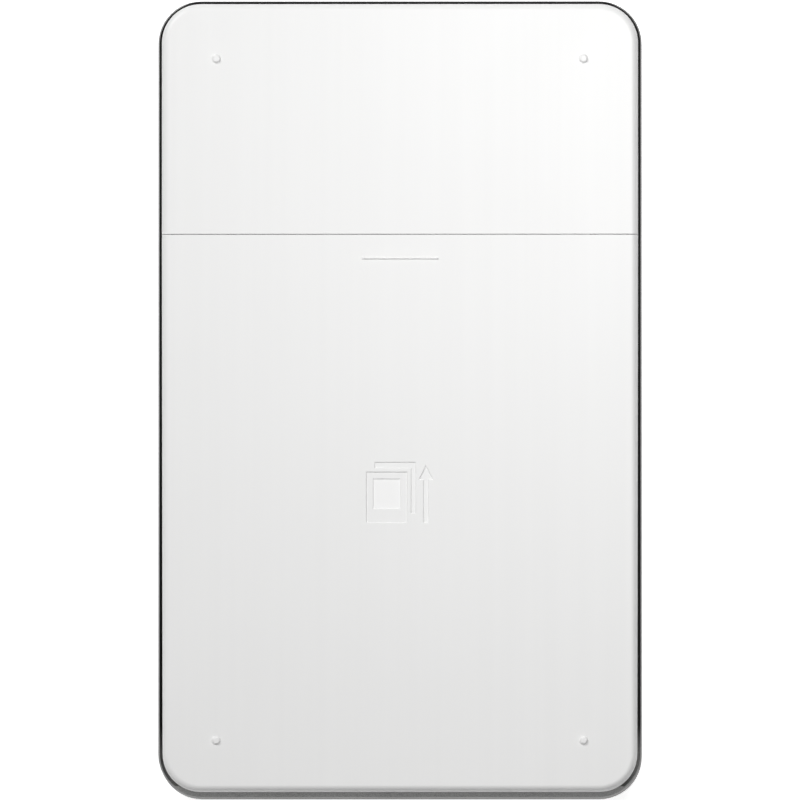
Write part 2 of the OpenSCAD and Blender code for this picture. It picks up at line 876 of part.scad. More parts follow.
// Tray for the sheets, with its rim, the gate at its front and the lugs of the cover hinge
module chassis() {
    pickup_slot_w = pickup_l + 2 * pickup_core_over + 1.2;
    pickup_slot_l = tyre_d + 0.8;
    tray_outer = tray_half + tray_wall;
    apron_y = platen_y - rubber_d / 2 - 0.7;
    color(tray_grey)
        difference() {
            union() {
                translate([0, 0, rim_z])
                    linear_extrude(rim_t)
                        intersection() {
                            rounded_rect(inner_w - 2 * rim_fit, inner_l - 2 * rim_fit, inner_r - rim_fit);
                            translate([-body_w, -body_l])
                                square([2 * body_w, body_l + gate_y + gate_t]);
                        }
                block([-tray_outer, tray_back - tray_wall, tray_z], [tray_outer, gate_y + gate_t, rim_top]);
                block([-tray_outer, gate_y, tray_z], [tray_outer, apron_y, sheet_z]);
                for (s = [-1, 1])
                    hinge_lug(s);
                for (s = [-1, 1], y = gusset_ys)
                    gusset(s, y);
                for (s = [-1, 1], y = case_boss_ys)
                    post(s * case_boss_x, y, case_boss_d, case_joint_z, rim_top);
            }
            block([-tray_half, tray_back, sheet_z], [tray_half, gate_y, body_h]);
            block([-tray_half, gate_y - over, sheet_z],
                  [tray_half, gate_y + gate_t + over, sheet_z + gate_h]);
            block([-pickup_slot_w / 2, pickup_p[0] - pickup_slot_l / 2, tray_z - over],
                  [pickup_slot_w / 2, pickup_p[0] + pickup_slot_l / 2, sheet_z + over]);
            post(sensor_p[0], sensor_p[1], sensor_hole_d, tray_z - over, sheet_z + over);
            for (s = [-1, 1])
                arm_slot(s);
            for (s = [-1, 1], y = case_boss_ys) {
                post(s * case_boss_x, y, case_head_d + case_hole_play, case_seat_z, rim_top + over);
                post(s * case_boss_x, y, case_screw_d + case_hole_play, case_joint_z - over, rim_top);
            }
        }
}

// Lug that holds a hinge pin, hanging from the rim on side s
module hinge_lug(s) {
    x = s > 0 ? lug_x : -lug_x - lug_t;
    from_side(x, x + lug_t)
        difference() {
            union() {
                translate([hinge_y, pivot_z])
                    circle(lug_r);
                translate([hinge_y - lug_back, pivot_z])
                    square([lug_r + lug_back, rim_z + 0.3 - pivot_z]);
            }
            translate([hinge_y, pivot_z])
                circle(d = hinge_pin_d);
        }
}

// Rib between the tray's wall and the underside of its rim on side s
module gusset(s, y) {
    root = tray_half + tray_wall / 2;
    translate([0, y + rib_t, 0])
        rotate([90, 0, 0])
            linear_extrude(rib_t)
                mirror([s < 0 ? 1 : 0, 0])
                    polygon([
                        [root, rim_z + rib_root],
                        [tray_half + tray_wall + gusset_w, rim_z + rib_root],
                        [tray_half + tray_wall + gusset_w, rim_z - 0.5],
                        [tray_half + tray_wall, rim_z - gusset_h],
                        [root, rim_z - gusset_h]
                    ]);
}

// Slot in the rim that the bracket's arm swings through on side s
module arm_slot(s) {
    x = s > 0 ? tray_half + tray_wall : -lug_x;
    block([x, hinge_y - slot_back, rim_z - over],
          [x + lug_x - tray_half - tray_wall, hinge_y + slot_front, body_h]);
}

// Folded steel frame of the print mechanism
module mech_frame() {
    window_gap = 0.6;
    color(steel)
        difference() {
            union() {
                for (s = [-1, 1])
                    from_side(s > 0 ? plate_x : -plate_x - plate_t, s > 0 ? plate_x + plate_t : -plate_x)
                        polygon([
                            [plate_front, mech_z],
                            [plate_back, mech_z],
                            [plate_back, mech_top - 3],
                            [plate_back - 3, mech_top],
                            [plate_step_y + 3, mech_top],
                            [plate_step_y, mech_top - 3],
                            [plate_step_y, plate_low],
                            [plate_front, plate_low]
                        ]);
                for (span = cross_spans)
                    block([-plate_x - plate_t, span[0], mech_z],
                          [plate_x + plate_t, span[1], mech_z + plate_t]);
                block([-plate_x - plate_t, bridge_front, mech_top - plate_t],
                      [plate_x + plate_t, bridge_front + bridge_l, mech_top]);
                for (s = [-1, 1], y = ear_ys)
                    screw_ear(s, y);
            }
            axle(platen_p, platen_shaft_d + 2 * bush_wall, -body_w, body_w);
            axle(pickup_p, pickup_shaft_d + 2 * bush_wall, -body_w, body_w);
            axle(rod_p, head_rod_d, -body_w, body_w);
            axle(motor_p, motor_boss_d, -body_w, 0);
            axle([motor_p[0], motor_wire_z], lead_hole_d, 0, body_w);
            for (p = [first_p, second_p, idler_p])
                axle(p, stud_d, -body_w, 0);
            block([0, flex_tab_y - window_gap, flex_tab_z - window_gap],
                  [body_w, flex_tab_y + flex_w + window_gap, flex_tab_z + flex_t + window_gap]);
            small_screw_holes();
        }
}

// Ear for a small screw, bent out from a side plate
module screw_ear(s, y) {
    translate([0, 0, mech_z])
        linear_extrude(plate_t) {
            translate([s * ear_x, y])
                circle(d = small_head_d);
            translate([s > 0 ? plate_x : -ear_x, y - small_head_d / 2])
                square([ear_x - plate_x, small_head_d]);
        }
}

// Pair of flanged bushes in the side plates
module flanged_bushes(p, bore) {
    barrel = bore + 2 * bush_wall;
    for (s = [-1, 1])
        mirror([s < 0 ? 1 : 0, 0, 0])
            difference() {
                union() {
                    axle(p, barrel, plate_x - bush_flange_t, plate_x + plate_t);
                    axle(p, barrel + 2 * bush_flange_w, plate_x - bush_flange_t, plate_x);
                }
                axle(p, bore + 2 * run_fit, 0, body_w);
            }
}

module platen_bushes() {
    color(gear_white)
        flanged_bushes(platen_p, platen_shaft_d);
}

module pickup_bushes() {
    color(gear_white)
        flanged_bushes(pickup_p, pickup_shaft_d);
}

// Motor can with its front boss in the side plate and a plastic end cap
module motor() {
    cap_l = 2;
    color(steel)
        difference() {
            union() {
                axle(motor_p, can_d, -plate_x, motor_l - plate_x - cap_l);
                axle(motor_p, can_d - 0.6, motor_l - plate_x - cap_l, motor_l - plate_x);
                axle(motor_p, motor_boss_d, -plate_x - plate_t, -plate_x);
            }
            axle(motor_p, motor_shaft_d + 2 * run_fit, -body_w, motor_shaft_in - plate_x);
        }
}

// Steel studs that carry the first gear, the second gear and the idler, with retaining heads
module gear_studs() {
    color(steel)
        for (stud = [[first_p, 1], [second_p, 2], [idler_p, 2]]) {
            tip = layer_x(stud[1]) + gear_w + stud_end_play;
            axle(stud[0], stud_d, -tip - stud_head_t, -plate_x);
            axle(stud[0], stud_head_d, -tip - stud_head_t, -tip);
        }
}

module head_rod() {
    color(steel)
        axle(rod_p, head_rod_d, -plate_x - plate_t, plate_x + plate_t);
}

// Guide between the platen and the exit slot, on two legs
module exit_guide() {
    lip_z = sheet_z + exit_gap;
    low_z = exit_low_z - exit_low_t;
    color(tray_grey) {
        block([-exit_half - exit_wall, exit_front, low_z], [exit_half + exit_wall, exit_back, exit_low_z]);
        for (n = [-2 : 2])
            block([n * guide_pitch - rib_t / 2, exit_front, low_z],
                  [n * guide_pitch + rib_t / 2, exit_back, exit_low_z + guide_rib_h]);
        block([-exit_half - exit_wall, exit_back - exit_lip_l, lip_z],
              [exit_half + exit_wall, exit_back, lip_z + exit_wall]);
        for (s = [-1, 1]) {
            x = s > 0 ? exit_half : -exit_half - exit_wall;
            block([x, exit_back - exit_lip_l, low_z], [x + exit_wall, exit_back, lip_z + exit_wall]);
            block([s * exit_leg_x - exit_leg_w / 2, plate_back - exit_leg_end - exit_leg_t, mech_z + plate_t],
                  [s * exit_leg_x + exit_leg_w / 2, plate_back - exit_leg_end, low_z]);
        }
    }
}

// Cork pad over the gate that holds back the second sheet
module separation_pad() {
    color([0.55, 0.4, 0.25])
        block([-5, gate_y, sheet_z + 0.5], [5, gate_y + gate_t, sheet_z + gate_h]);
}

module battery() {
    color([0.6, 0.62, 0.66])
        translate([battery_x, battery_y + battery_l, floor_t])
            rotate([90, 0, 0])
                linear_extrude(battery_l)
                    polygon([
                        [0, 0],
                        [battery_w, 0],
                        [battery_w, battery_h - battery_bevel],
                        [battery_w - battery_bevel, battery_h],
                        [battery_bevel, battery_h],
                        [0, battery_h - battery_bevel]
                    ]);
}

// Three wires from the battery to its plug
module battery_lead() {
    color([0.7, 0.1, 0.1])
        for (n = [-1 : 1])
            translate([0, battery_plug_y + n * battery_wire_pitch, 0])
                axle([0, board_top + 0.9], wire_d, battery_x + battery_w, battery_plug_x);
}

// Circuit board with notches round the case bosses
module main_board() {
    color([0.1, 0.35, 0.22])
        difference() {
            translate([0, 0, board_z])
                linear_extrude(board_t)
                    polygon([
                        [board_x, board_end_y],
                        [board_notch_x, board_end_y],
                        [board_notch_x, board_notch_y],
                        [board_edge_x, board_notch_y],
                        [board_edge_x, board_front_y],
                        [board_x, board_front_y]
                    ]);
            small_screw_holes();
        }
}

// Chips, plugs and lamps that stand on the board
module board_parts() {
    lamp = [1.4, 1.2];
    plug_w = 4;
    color([0.13, 0.13, 0.14]) {
        chip(12, 36, 14, 14, 1.8);
        chip(34, 20, 8, 10, 1.8);
        chip(40, 32, 6, 6, 1.6);
        chip(6, 48, 6, 4, 1.4);
        chip(6, 64, 4, 6, 1.4);
        for (n = [0 : 4])
            chip(14 + 6 * n, 54, 3, 2, 1);
        for (y = light_ys)
            on_board(board_edge_x - 1 - lamp[0], y - lamp[1] / 2, lamp[0], lamp[1], usb_h / 2);
    }
    color([0.92, 0.9, 0.84]) {
        on_board(battery_plug_x, battery_plug_y - battery_plug_l / 2, plug_w, battery_plug_l, plug_h);
        on_board(motor_wire_x - 1.2, motor_plug_y, 2.8, motor_plug_l, plug_h);
        on_board(flex_x - 1.1, flex_plug_y - 0.6, 2, flex_w + 1.2, flex_plug_h);
    }
}

// Block of size w x l x h on the board
module on_board(x, y, w, l, h) {
    translate([x, y, board_top])
        cube([w, l, h]);
}

// Chip placed and sized in steps of the board's grid, counted from its corner
module chip(col, row, cols, rows, steps) {
    on_board(board_x + col * board_grid, board_end_y + row * board_grid,
             cols * board_grid, rows * board_grid, steps * board_grid);
}

// Pressed shield over the radio, with a row of holes
module shield_can() {
    w = 30 * board_grid;
    l = 28 * board_grid;
    h = 2.6 * board_grid;
    t = 0.2;
    hole_d = 1;
    hole_end = 3;
    color(steel)
        translate([board_x + 14 * board_grid, board_end_y + 66 * board_grid, board_top])
            difference() {
                cube([w, l, h]);
                translate([t, t, -over])
                    cube([w - 2 * t, l - 2 * t, h - t + over]);
                for (n = [0 : 4])
                    translate([hole_end + n * (w - 2 * hole_end) / 4, l / 2, 0])
                        cylinder(d = hole_d, h = h + over);
            }
}

// Charging socket: a folded shell with its tongue inside
module usb_socket() {
    front = body_w / 2 - usb_recess;
    t = 0.3;
    tongue_half = 1.9;
    color(steel)
        difference() {
            from_side(front - usb_depth, front)
                usb_outline(0);
            from_side(front - usb_depth + t, front + over)
                usb_outline(t);
        }
    color([0.1, 0.1, 0.1])
        block([front - usb_depth + t - 0.1, usb_y - tongue_half, port_z - 0.1],
              [front - 0.7, usb_y + tongue_half, port_z + 0.5]);
}

// Outline of the socket, with its two lower corners cut
module usb_outline(t) {
    w = usb_w / 2 - t;
    h = usb_h / 2 - t;
    translate([usb_y, port_z])
        polygon([[-w, h], [w, h], [w, -h / 3], [w - 0.9, -h], [0.9 - w, -h], [-w, -h / 3]]);
}

// Side-pushed switch behind the power button
module power_switch() {
    back = button_back() - button_travel - switch_gap - plunger_l;
    color([0.2, 0.2, 0.22])
        block([back - switch_d, button_y - switch_l / 2, board_top],
              [back, button_y + switch_l / 2, board_top + switch_h]);
    color([0.85, 0.85, 0.82])
        translate([0, button_y, 0])
            axle([0, board_top + switch_h / 2], plunger_d, back, back + plunger_l);
}

// Inner face of the power button, out of use
function button_back() = inner_w / 2 - button_flange_t - button_lift;

// Button that stands flush in the band, with the flange that keeps it in
module power_button() {
    half = (button_l - button_h) / 2;
    ends = [[button_y - half, port_z], [button_y + half, port_z]];
    color(dark_grey) {
        from_side(button_back(), body_w / 2)
            strip(ends[0], ends[1], button_h);
        from_side(button_back(), inner_w / 2 - 0.05)
            strip(ends[0], ends[1], button_h + 2 * button_flange);
    }
}

// Two clear rods that carry the lamps' light through the band
module light_pipes() {
    color([0.9, 0.92, 0.9])
        for (y = light_ys)
            translate([0, y, 0]) {
                axle([0, port_z], light_d, board_edge_x - 0.7, body_w / 2);
                axle([0, port_z], light_d + 2 * light_flange, inner_w / 2 - 0.6, inner_w / 2);
            }
}

module paper_sensor() {
    color([0.12, 0.12, 0.13])
        translate([sensor_p[0], sensor_p[1], tray_z - sensor_size[2] / 2])
            difference() {
                cube(sensor_size, center = true);
                for (s = [-1, 1])
                    translate([s * 0.6, 0, sensor_size[2] / 2])
                        cube([0.8, 0.8, 0.6], center = true);
            }
}

// Pan-head screw at x, y whose head sits on z
module screw(x, y, z, d, l, head_d, head_h) {
    post(x, y, d, z - l, z);
    difference() {
        post(x, y, head_d, z, z + head_h);
        for (turn = [0, 90])
            translate([x, y, z + head_h])
                rotate(turn)
                    cube([head_d * 0.62, d * 0.28, head_h * 0.9], center = true);
    }
}

module case_screws() {
    color(steel)
        for (s = [-1, 1], y = case_boss_ys)
            screw(s * case_boss_x, y, case_seat_z, case_screw_d, case_screw_l, case_head_d, case_head_h);
}

module small_screws() {
    color(steel) {
        for (s = [-1, 1], y = ear_ys)
            screw(s * ear_x, y, mech_z + plate_t, small_screw_d, small_screw_l, small_head_d, small_head_h);
        for (p = board_posts)
            screw(p[0], p[1], board_top, small_screw_d, small_screw_l, small_head_d, small_head_h);
    }
}

// Flat cable that stands on edge along the right-hand side plate
module head_flex() {
    color(copper) {
        from_side(flex_x, flex_x + flex_t) {
            translate([flex_plug_y, flex_low])
                square([flex_tab_y - flex_plug_y + flex_w, flex_w]);
            translate([flex_plug_y, board_top + flex_plug_h])
                square([flex_w, flex_low + flex_w - board_top - flex_plug_h]);
        }
        block([sink_x + flex_gap, flex_tab_y, flex_tab_z],
              [flex_x + flex_t, flex_tab_y + flex_w, flex_tab_z + flex_t]);
    }
}

// Two wires from the motor, one above the other, round a bend and along the side plate to their plug
module motor_lead() {
    plug_face = motor_plug_y + motor_plug_l;
    color([0.75, 0.12, 0.1])
        for (n = [-0.5, 0.5])
            translate([0, 0, motor_wire_z + n * wire_pitch]) {
                axle([motor_p[0], 0], wire_d, motor_l - plate_x, motor_wire_x - wire_bend);
                translate([motor_wire_x - wire_bend, motor_p[0] - wire_bend, 0])
                    rotate_extrude(angle = 90)
                        translate([wire_bend, 0])
                            circle(d = wire_d);
                translate([motor_wire_x, motor_p[0] - wire_bend, 0])
                    rotate([90, 0, 0])
                        cylinder(d = wire_d, h = motor_p[0] - wire_bend - plug_face);
            }
}

// Pins of the cover hinge, pressed into the lugs
module hinge_pins() {
    color(steel)
        for (s = [-1, 1])
            mirror([s < 0 ? 1 : 0, 0, 0])
                axle([hinge_y, pivot_z], hinge_pin_d, arm_x, lug_x + lug_t);
}

// Steel bracket: two cranked arms, a cross plate and the tongue that the cover slides on
module hinge_bracket() {
    hub = [hinge_y, pivot_z];
    color(steel)
        difference() {
            union() {
                for (s = [-1, 1])
                    from_side(s > 0 ? arm_x : -arm_x - arm_t, s > 0 ? arm_x + arm_t : -arm_x) {
                        translate(hub)
                            circle(hub_r);
                        strip(hub, hub + arm_elbow, arm_w);
                        translate(hub + arm_elbow - [arm_w / 2, 0])
                            square([arm_w, arm_head_z - arm_elbow[1] + bracket_t]);
                    }
                block([-arm_x - arm_t, cross_y, tongue_z],
                      [arm_x + arm_t, cross_y + cross_l, tongue_z + bracket_t]);
                tongue();
                for (s = [-1, 1])
                    pad_ear(s);
            }
            axle(hub, hinge_pin_d + 2 * run_fit, -body_w, body_w);
        }
}

// Tongue of the bracket, with rows of windows that save weight
module tongue() {
    window = [10, 9];
    pitch = [13, 12];
    first_y = cross_y + cross_l + 2 + window[1] / 2;
    difference() {
        block([-tongue_w / 2, cross_y, tongue_z], [tongue_w / 2, tongue_end, tongue_z + bracket_t]);
        for (col = [-0.5, 0.5], row = [0 : 1])
            translate([col * pitch[0], first_y + row * pitch[1], tongue_z - over])
                linear_extrude(bracket_t + 2 * over)
                    rounded_rect(window[0], window[1], 2);
    }
}

function pad_pin_p() = [pickup_p[0] - pad_pin_from_roller, tongue_z - pad_pin_drop];
// Height of the pressure pad's underside, which carries the felt
function pad_low() = axis_z + tyre_d / 2 + felt_gap + felt_t;

// Ear under the tongue for a pad pin on side s
module pad_ear(s) {
    x = pad_hub_x + pad_hub_l + pad_pin_end;
    from_side(s > 0 ? x : -x - pad_ear_t, s > 0 ? x + pad_ear_t : -x)
        difference() {
            strip(pad_pin_p(), pad_pin_p() + [0, pad_pin_drop + 0.1], pad_ear_w);
            translate(pad_pin_p())
                circle(d = pad_pin_d);
        }
}

module pad_pins() {
    color(steel)
        for (s = [-1, 1])
            mirror([s < 0 ? 1 : 0, 0, 0])
                axle(pad_pin_p(), pad_pin_d, pad_hub_x, pad_hub_x + pad_hub_l + pad_ear_t + pad_pin_end);
}

// Pad that presses the sheets on the pickup tyre
module pressure_pad() {
    bend = [pickup_p[0] - pad_bend_from_roller, pad_low() + pad_t / 2];
    tip = [pickup_p[0] + pad_tip_from_roller, pad_low() + pad_t / 2];
    color(tray_grey)
        difference() {
            union() {
                from_side(-pad_w / 2, pad_w / 2)
                    strip(bend, tip, pad_t);
                for (s = [-1, 1])
                    mirror([s < 0 ? 1 : 0, 0, 0])
                        from_side(pad_hub_x, pad_hub_x + pad_hub_l) {
                            translate(pad_pin_p())
                                circle(pad_hub_r);
                            strip(pad_pin_p(), bend, pad_t);
                        }
            }
            axle(pad_pin_p(), pad_pin_d + 2 * run_fit, -body_w, body_w);
        }
}

module pad_felt() {
    color([0.25, 0.25, 0.27])
        block([-felt_w / 2, pickup_p[0] + felt_end - felt_l, pad_low() - felt_t],
              [felt_w / 2, pickup_p[0] + felt_end, pad_low()]);
}

// Leaf spring from the tongue down to the pressure pad
module pad_spring() {
    z = tongue_z - spring_t / 2;
    tip = [pickup_p[0] - spring_tip_from_roller, pad_low() + pad_t + spring_t / 2];
    root = [pickup_p[0] - spring_root_from_roller, z];
    knee = root - [spring_foot_l, 0];
    color(steel)
        from_side(-spring_w / 2, spring_w / 2) {
            strip(knee, root, spring_t);
            strip(root, tip, spring_t);
        }
}

// White cover: the panel, its thumb ridge and pips, and the rails that hold it on the bracket's tongue
module paper_cover() {
    color(white) {
        intersection() {
            top_panels();
            block([-body_w, -body_l, 0], [body_w, seam_y - seam_w / 2, body_h + over]);
        }
        pips(pip_tail - body_l / 2);
        translate([0, seam_y - ridge_from_seam, body_h - 0.2])
            linear_extrude(ridge_h + 0.2)
                strip([(ridge_t - ridge_w) / 2, 0], [(ridge_w - ridge_t) / 2, 0], ridge_t);
        panel_rib([-rib_x, front_rib_y], [rib_x, front_rib_y + rib_t]);
        for (s = [-1, 1])
            mirror([s < 0 ? 1 : 0, 0, 0]) {
                panel_rib([rib_x, panel_t / 2 - panel_l / 2], [rib_x + rib_t, front_rib_y + rib_t]);
                block([rail_x, rail_y, tongue_z - slide_fit - lip_t],
                      [rail_x + rail_t, rail_end, skin_z + 0.2]);
                block([rail_x - lip_w, rail_y, tongue_z - slide_fit - lip_t],
                      [rail_x + rail_t, rail_end, tongue_z - slide_fit]);
            }
    }
}

// Platen: a core for the rubber with two thinner journals
module platen_shaft() {
    color(steel) {
        axle(platen_p, platen_shaft_d, -layer_x(2) - gear_w - stud_end_play, plate_x + plate_t + shaft_tail);
        axle(platen_p, platen_core_d, -platen_half - 0.5, platen_half + 0.5);
    }
}

module platen_rubber() {
    color(rubber)
        difference() {
            axle(platen_p, rubber_d, -platen_half, platen_half);
            axle(platen_p, platen_core_d, -body_w, body_w);
        }
}

module platen_gear() {
    color(gear_white)
        difference() {
            gear(platen_p, platen_teeth, 0, -layer_x(2) - gear_w, -layer_x(2));
            axle(platen_p, platen_shaft_d, -body_w, body_w);
        }
}

module pickup_shaft() {
    color(steel)
        axle(pickup_p, pickup_shaft_d, -layer_x(2) - gear_w - stud_end_play, plate_x + plate_t + shaft_tail);
}

module pickup_core() {
    color(gear_white)
        difference() {
            axle(pickup_p, pickup_core_d, -pickup_l / 2 - pickup_core_over, pickup_l / 2 + pickup_core_over);
            axle(pickup_p, pickup_shaft_d, -body_w, body_w);
        }
}

module pickup_tyre() {
    color(rubber)
        difference() {
            axle(pickup_p, tyre_d, -pickup_l / 2, pickup_l / 2);
            axle(pickup_p, pickup_core_d, -body_w, body_w);
        }
}

module pickup_gear() {
    color(gear_white)
        difference() {
            gear(pickup_p, pickup_teeth, pickup_phase, -layer_x(2) - gear_w, -layer_x(2));
            axle(pickup_p, pickup_shaft_d, -body_w, body_w);
        }
}

// Ceramic plate with the raised heater line over the platen's crown
module print_head() {
    color([0.86, 0.84, 0.78]) {
        block([-sink_x, head_front, head_z + 0.1], [sink_x, head_front + head_plate_l, sink_z]);
        from_side(0.5 - sink_x, sink_x - 0.5)
            strip([platen_y - 0.5, head_z + 0.15], [platen_y + 0.5, head_z + 0.15], 0.3);
    }
}

// Aluminium sink with fins in front, and behind them the ear that turns on the rod
module heat_sink() {
    fin_area = rod_p[0] - sink_ear_r - fin_end_gap - head_front;
    color([0.8, 0.81, 0.82])
        difference() {
            from_side(-sink_x, sink_x) {
                translate([head_front, sink_z])
                    square([rod_p[0] - head_front, sink_h - fin_h]);
                translate(rod_p)
                    circle(sink_ear_r);
                for (n = [0 : floor(fin_area / fin_pitch)])
                    translate([head_front + n * fin_pitch, sink_z])
                        square([fin_w, sink_h]);
            }
            axle(rod_p, head_rod_d + 2 * run_fit, -body_w, body_w);
        }
}

// Two coil springs between the heat sink and the frame's bridge
module head_springs() {
    wire = 0.3;
    end_gap = 0.2;
    low = sink_z + sink_h + end_gap;
    high = mech_top - plate_t - end_gap;
    color(steel)
        for (s = [-1, 1], n = [0 : 3])
            translate([s * head_spring_x, bridge_front + bridge_l / 2, low + n * (high - low) / 3])
                rotate_extrude()
                    translate([(head_spring_d - wire) / 2, 0])
                        circle(d = wire, $fn = 16);
}

module motor_shaft() {
    color(steel)
        axle(motor_p, motor_shaft_d, -layer_x(0) - gear_w, motor_shaft_in - 0.3 - plate_x);
}

module motor_pinion() {
    color([0.82, 0.7, 0.4])
        difference() {
            gear(motor_p, pinion_teeth, pinion_phase, -layer_x(0) - gear_w, -layer_x(0));
            axle(motor_p, motor_shaft_d, -body_w, body_w);
        }
}

// Two wheels in one: the large one in layer n, the small one in the next layer out
module double_gear(p, big, big_phase, small, small_phase, n) {
    recess_t = 0.3;
    inner_d = tooth * small + 1.6;
    outer_d = tooth * (big - 5);
    difference() {
        union() {
            gear(p, big, big_phase, -layer_x(n) - gear_w, -layer_x(n));
            gear(p, small, small_phase, -layer_x(n + 1) - gear_w, -layer_x(n) - gear_w);
        }
        difference() {
            axle(p, outer_d, recess_t - layer_x(n) - gear_w - 2 * recess_t, recess_t - layer_x(n) - gear_w);
            axle(p, inner_d, -body_w, 0);
        }
        axle(p, stud_d + 2 * run_fit, -body_w, 0);
    }
}

module first_gear() {
    color(gear_white)
        double_gear(first_p, first_big_teeth, 0, first_small_teeth, first_phase, 0);
}

module second_gear() {
    color(gear_white)
        double_gear(second_p, second_big_teeth, 0, second_small_teeth, second_phase, 1);
}

module feed_idler() {
    color(gear_white)
        difference() {
            union() {
                gear(idler_p, idler_teeth, idler_phase, -layer_x(2) - gear_w, -layer_x(2));
                axle(idler_p, stud_d + 1.4, -layer_x(2), -layer_x(0));
            }
            axle(idler_p, stud_d + 2 * run_fit, -body_w, 0);
        }
}

base_shell();
side_band();
head_panel();
chassis();
mech_frame();
platen_bushes();
pickup_bushes();
motor();
gear_studs();
head_rod();
exit_guide();
separation_pad();
battery();
battery_lead();
main_board();
board_parts();
shield_can();
usb_socket();
power_switch();
light_pipes();
paper_sensor();
case_screws();
small_screws();
head_flex();
motor_lead();
hinge_pins();
hinge_bracket();
paper_cover();
pad_pins();
pressure_pad();
pad_felt();
pad_spring();
platen_shaft();
platen_rubber();
platen_gear();
pickup_shaft();
pickup_core();
pickup_tyre();
pickup_gear();
print_head();
heat_sink();
head_springs();
motor_shaft();
motor_pinion();
first_gear();
second_gear();
feed_idler();
power_button();
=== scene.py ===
# %% [markdown]
# # A compact photo printer, dressed for its portrait
# The printer is a slim white slab, 74 by 122 mm, with a dark metallic band round its
# waist. A construction program made its solids, and they are already in place, in metres.
# This script loads them, sets up the camera, the floor and the lamps, gives every piece its
# finish, and adds the shapes that are too fine for the construction model.

# %% Load the fixed frame
import json
import math
import bmesh
import bpy
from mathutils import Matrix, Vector, noise


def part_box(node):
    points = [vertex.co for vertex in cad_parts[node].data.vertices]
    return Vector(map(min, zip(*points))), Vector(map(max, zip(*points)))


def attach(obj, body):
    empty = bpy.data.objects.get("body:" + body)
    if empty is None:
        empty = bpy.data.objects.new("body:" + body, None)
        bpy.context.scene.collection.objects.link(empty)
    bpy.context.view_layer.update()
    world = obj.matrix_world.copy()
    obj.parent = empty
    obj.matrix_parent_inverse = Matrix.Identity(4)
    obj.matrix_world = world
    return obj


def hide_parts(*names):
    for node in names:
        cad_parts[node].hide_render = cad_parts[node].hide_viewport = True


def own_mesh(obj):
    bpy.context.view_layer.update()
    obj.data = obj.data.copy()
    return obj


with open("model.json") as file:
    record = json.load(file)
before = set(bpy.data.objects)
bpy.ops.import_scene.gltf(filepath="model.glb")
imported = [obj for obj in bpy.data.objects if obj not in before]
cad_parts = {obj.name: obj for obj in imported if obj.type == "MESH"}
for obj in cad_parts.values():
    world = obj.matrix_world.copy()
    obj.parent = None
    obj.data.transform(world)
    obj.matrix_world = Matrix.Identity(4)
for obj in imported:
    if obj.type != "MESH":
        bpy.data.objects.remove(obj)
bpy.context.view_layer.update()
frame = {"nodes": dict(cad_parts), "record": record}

MM = 0.001
part = frame["nodes"]

# %% [markdown]
# ## Where the camera stands
# Pictures of such goods are taken from far away with a long lens, so that the sides stay
# parallel. A camera four and a half metres off, with a lens that just takes in the case,
# does the same. It stands almost straight above the face and leans a little towards the
# hinge end, so a sliver of the band's end shows there, and none at the other end. A still
# smaller turn to the right shows a hair of the right flank. The camera is aimed at the
# middle of the face, a third of a millimetre nearer the hinge end.

# %% Camera
VIEW_WIDTH = 122.38 * MM
CAMERA_DISTANCE = 4.5
CAMERA_LEAN = math.radians(2.5)
CAMERA_TURN = math.radians(0.45)
SENSOR = 36.0
FARTHEST_SEEN = 50.0
AIM = Vector((0.00002, -0.00034, 0.0204))

lens = bpy.data.cameras.new("portrait_lens")
lens.sensor_width = SENSOR
lens.lens = SENSOR * CAMERA_DISTANCE / VIEW_WIDTH
lens.clip_end = FARTHEST_SEEN
camera = bpy.data.objects.new("portrait_camera", lens)
bpy.context.collection.objects.link(camera)
camera.rotation_euler = (CAMERA_LEAN, CAMERA_TURN, 0.0)
backwards = camera.rotation_euler.to_matrix() @ Vector((0.0, 0.0, 1.0))
camera.location = AIM + CAMERA_DISTANCE * backwards
bpy.context.scene.camera = camera
bpy.context.scene.view_settings.view_transform = "Standard"
print("lens", round(lens.lens), "mm")

# %% [markdown]
# ## One short way to add shader nodes
# Every finish below is a small web of nodes. `add` makes one node and fills its sockets:
# a number or colour is typed in, and another node's output is wired in. The nodes that
# are used most have a short way of their own: `calc` works on numbers, `calc_vector` on
# vectors, and `remap` stretches one range of numbers over another.

# %% Helpers for nodes
def add(tree, kind, fill=None, **settings):
    node = tree.nodes.new("ShaderNode" + kind)
    for name, value in settings.items():
        setattr(node, name, value)
    for name, value in (fill or {}).items():
        if isinstance(value, bpy.types.NodeSocket):
            tree.links.new(value, node.inputs[name])
        else:
            node.inputs[name].default_value = value
    return node


def calc(tree, operation, first, second=0.0):
    return add(tree, "Math", {0: first, 1: second}, operation=operation).outputs[0]


def calc_vector(tree, operation, first, second=(0.0, 0.0, 0.0)):
    return add(tree, "VectorMath", {0: first, 1: second}, operation=operation).outputs[0]


def remap(tree, value, low, high, to_low=0.0, to_high=1.0):
    ranges = {"From Min": low, "From Max": high, "To Min": to_low, "To Max": to_high}
    return add(tree, "MapRange", {"Value": value, **ranges}).outputs["Result"]


print("helpers for nodes: add, calc, calc_vector, remap")

# %% [markdown]
# ## The floor
# A plain pale floor, wide enough to run out of every view. Its colour is white, and what
# the camera sees of it, straight or in a reflection, has a little glow of its own, so the
# open floor reaches full white while the shadow under the case stays. The case itself is
# lit by the floor's plain bounce alone, because a glow there would flatten its sides. The
# floor lies a hair under the case, because two faces in one plane would flicker.

# %% Floor
FLOOR_HALF = 12.0
FLOOR_Z = -0.02 * MM

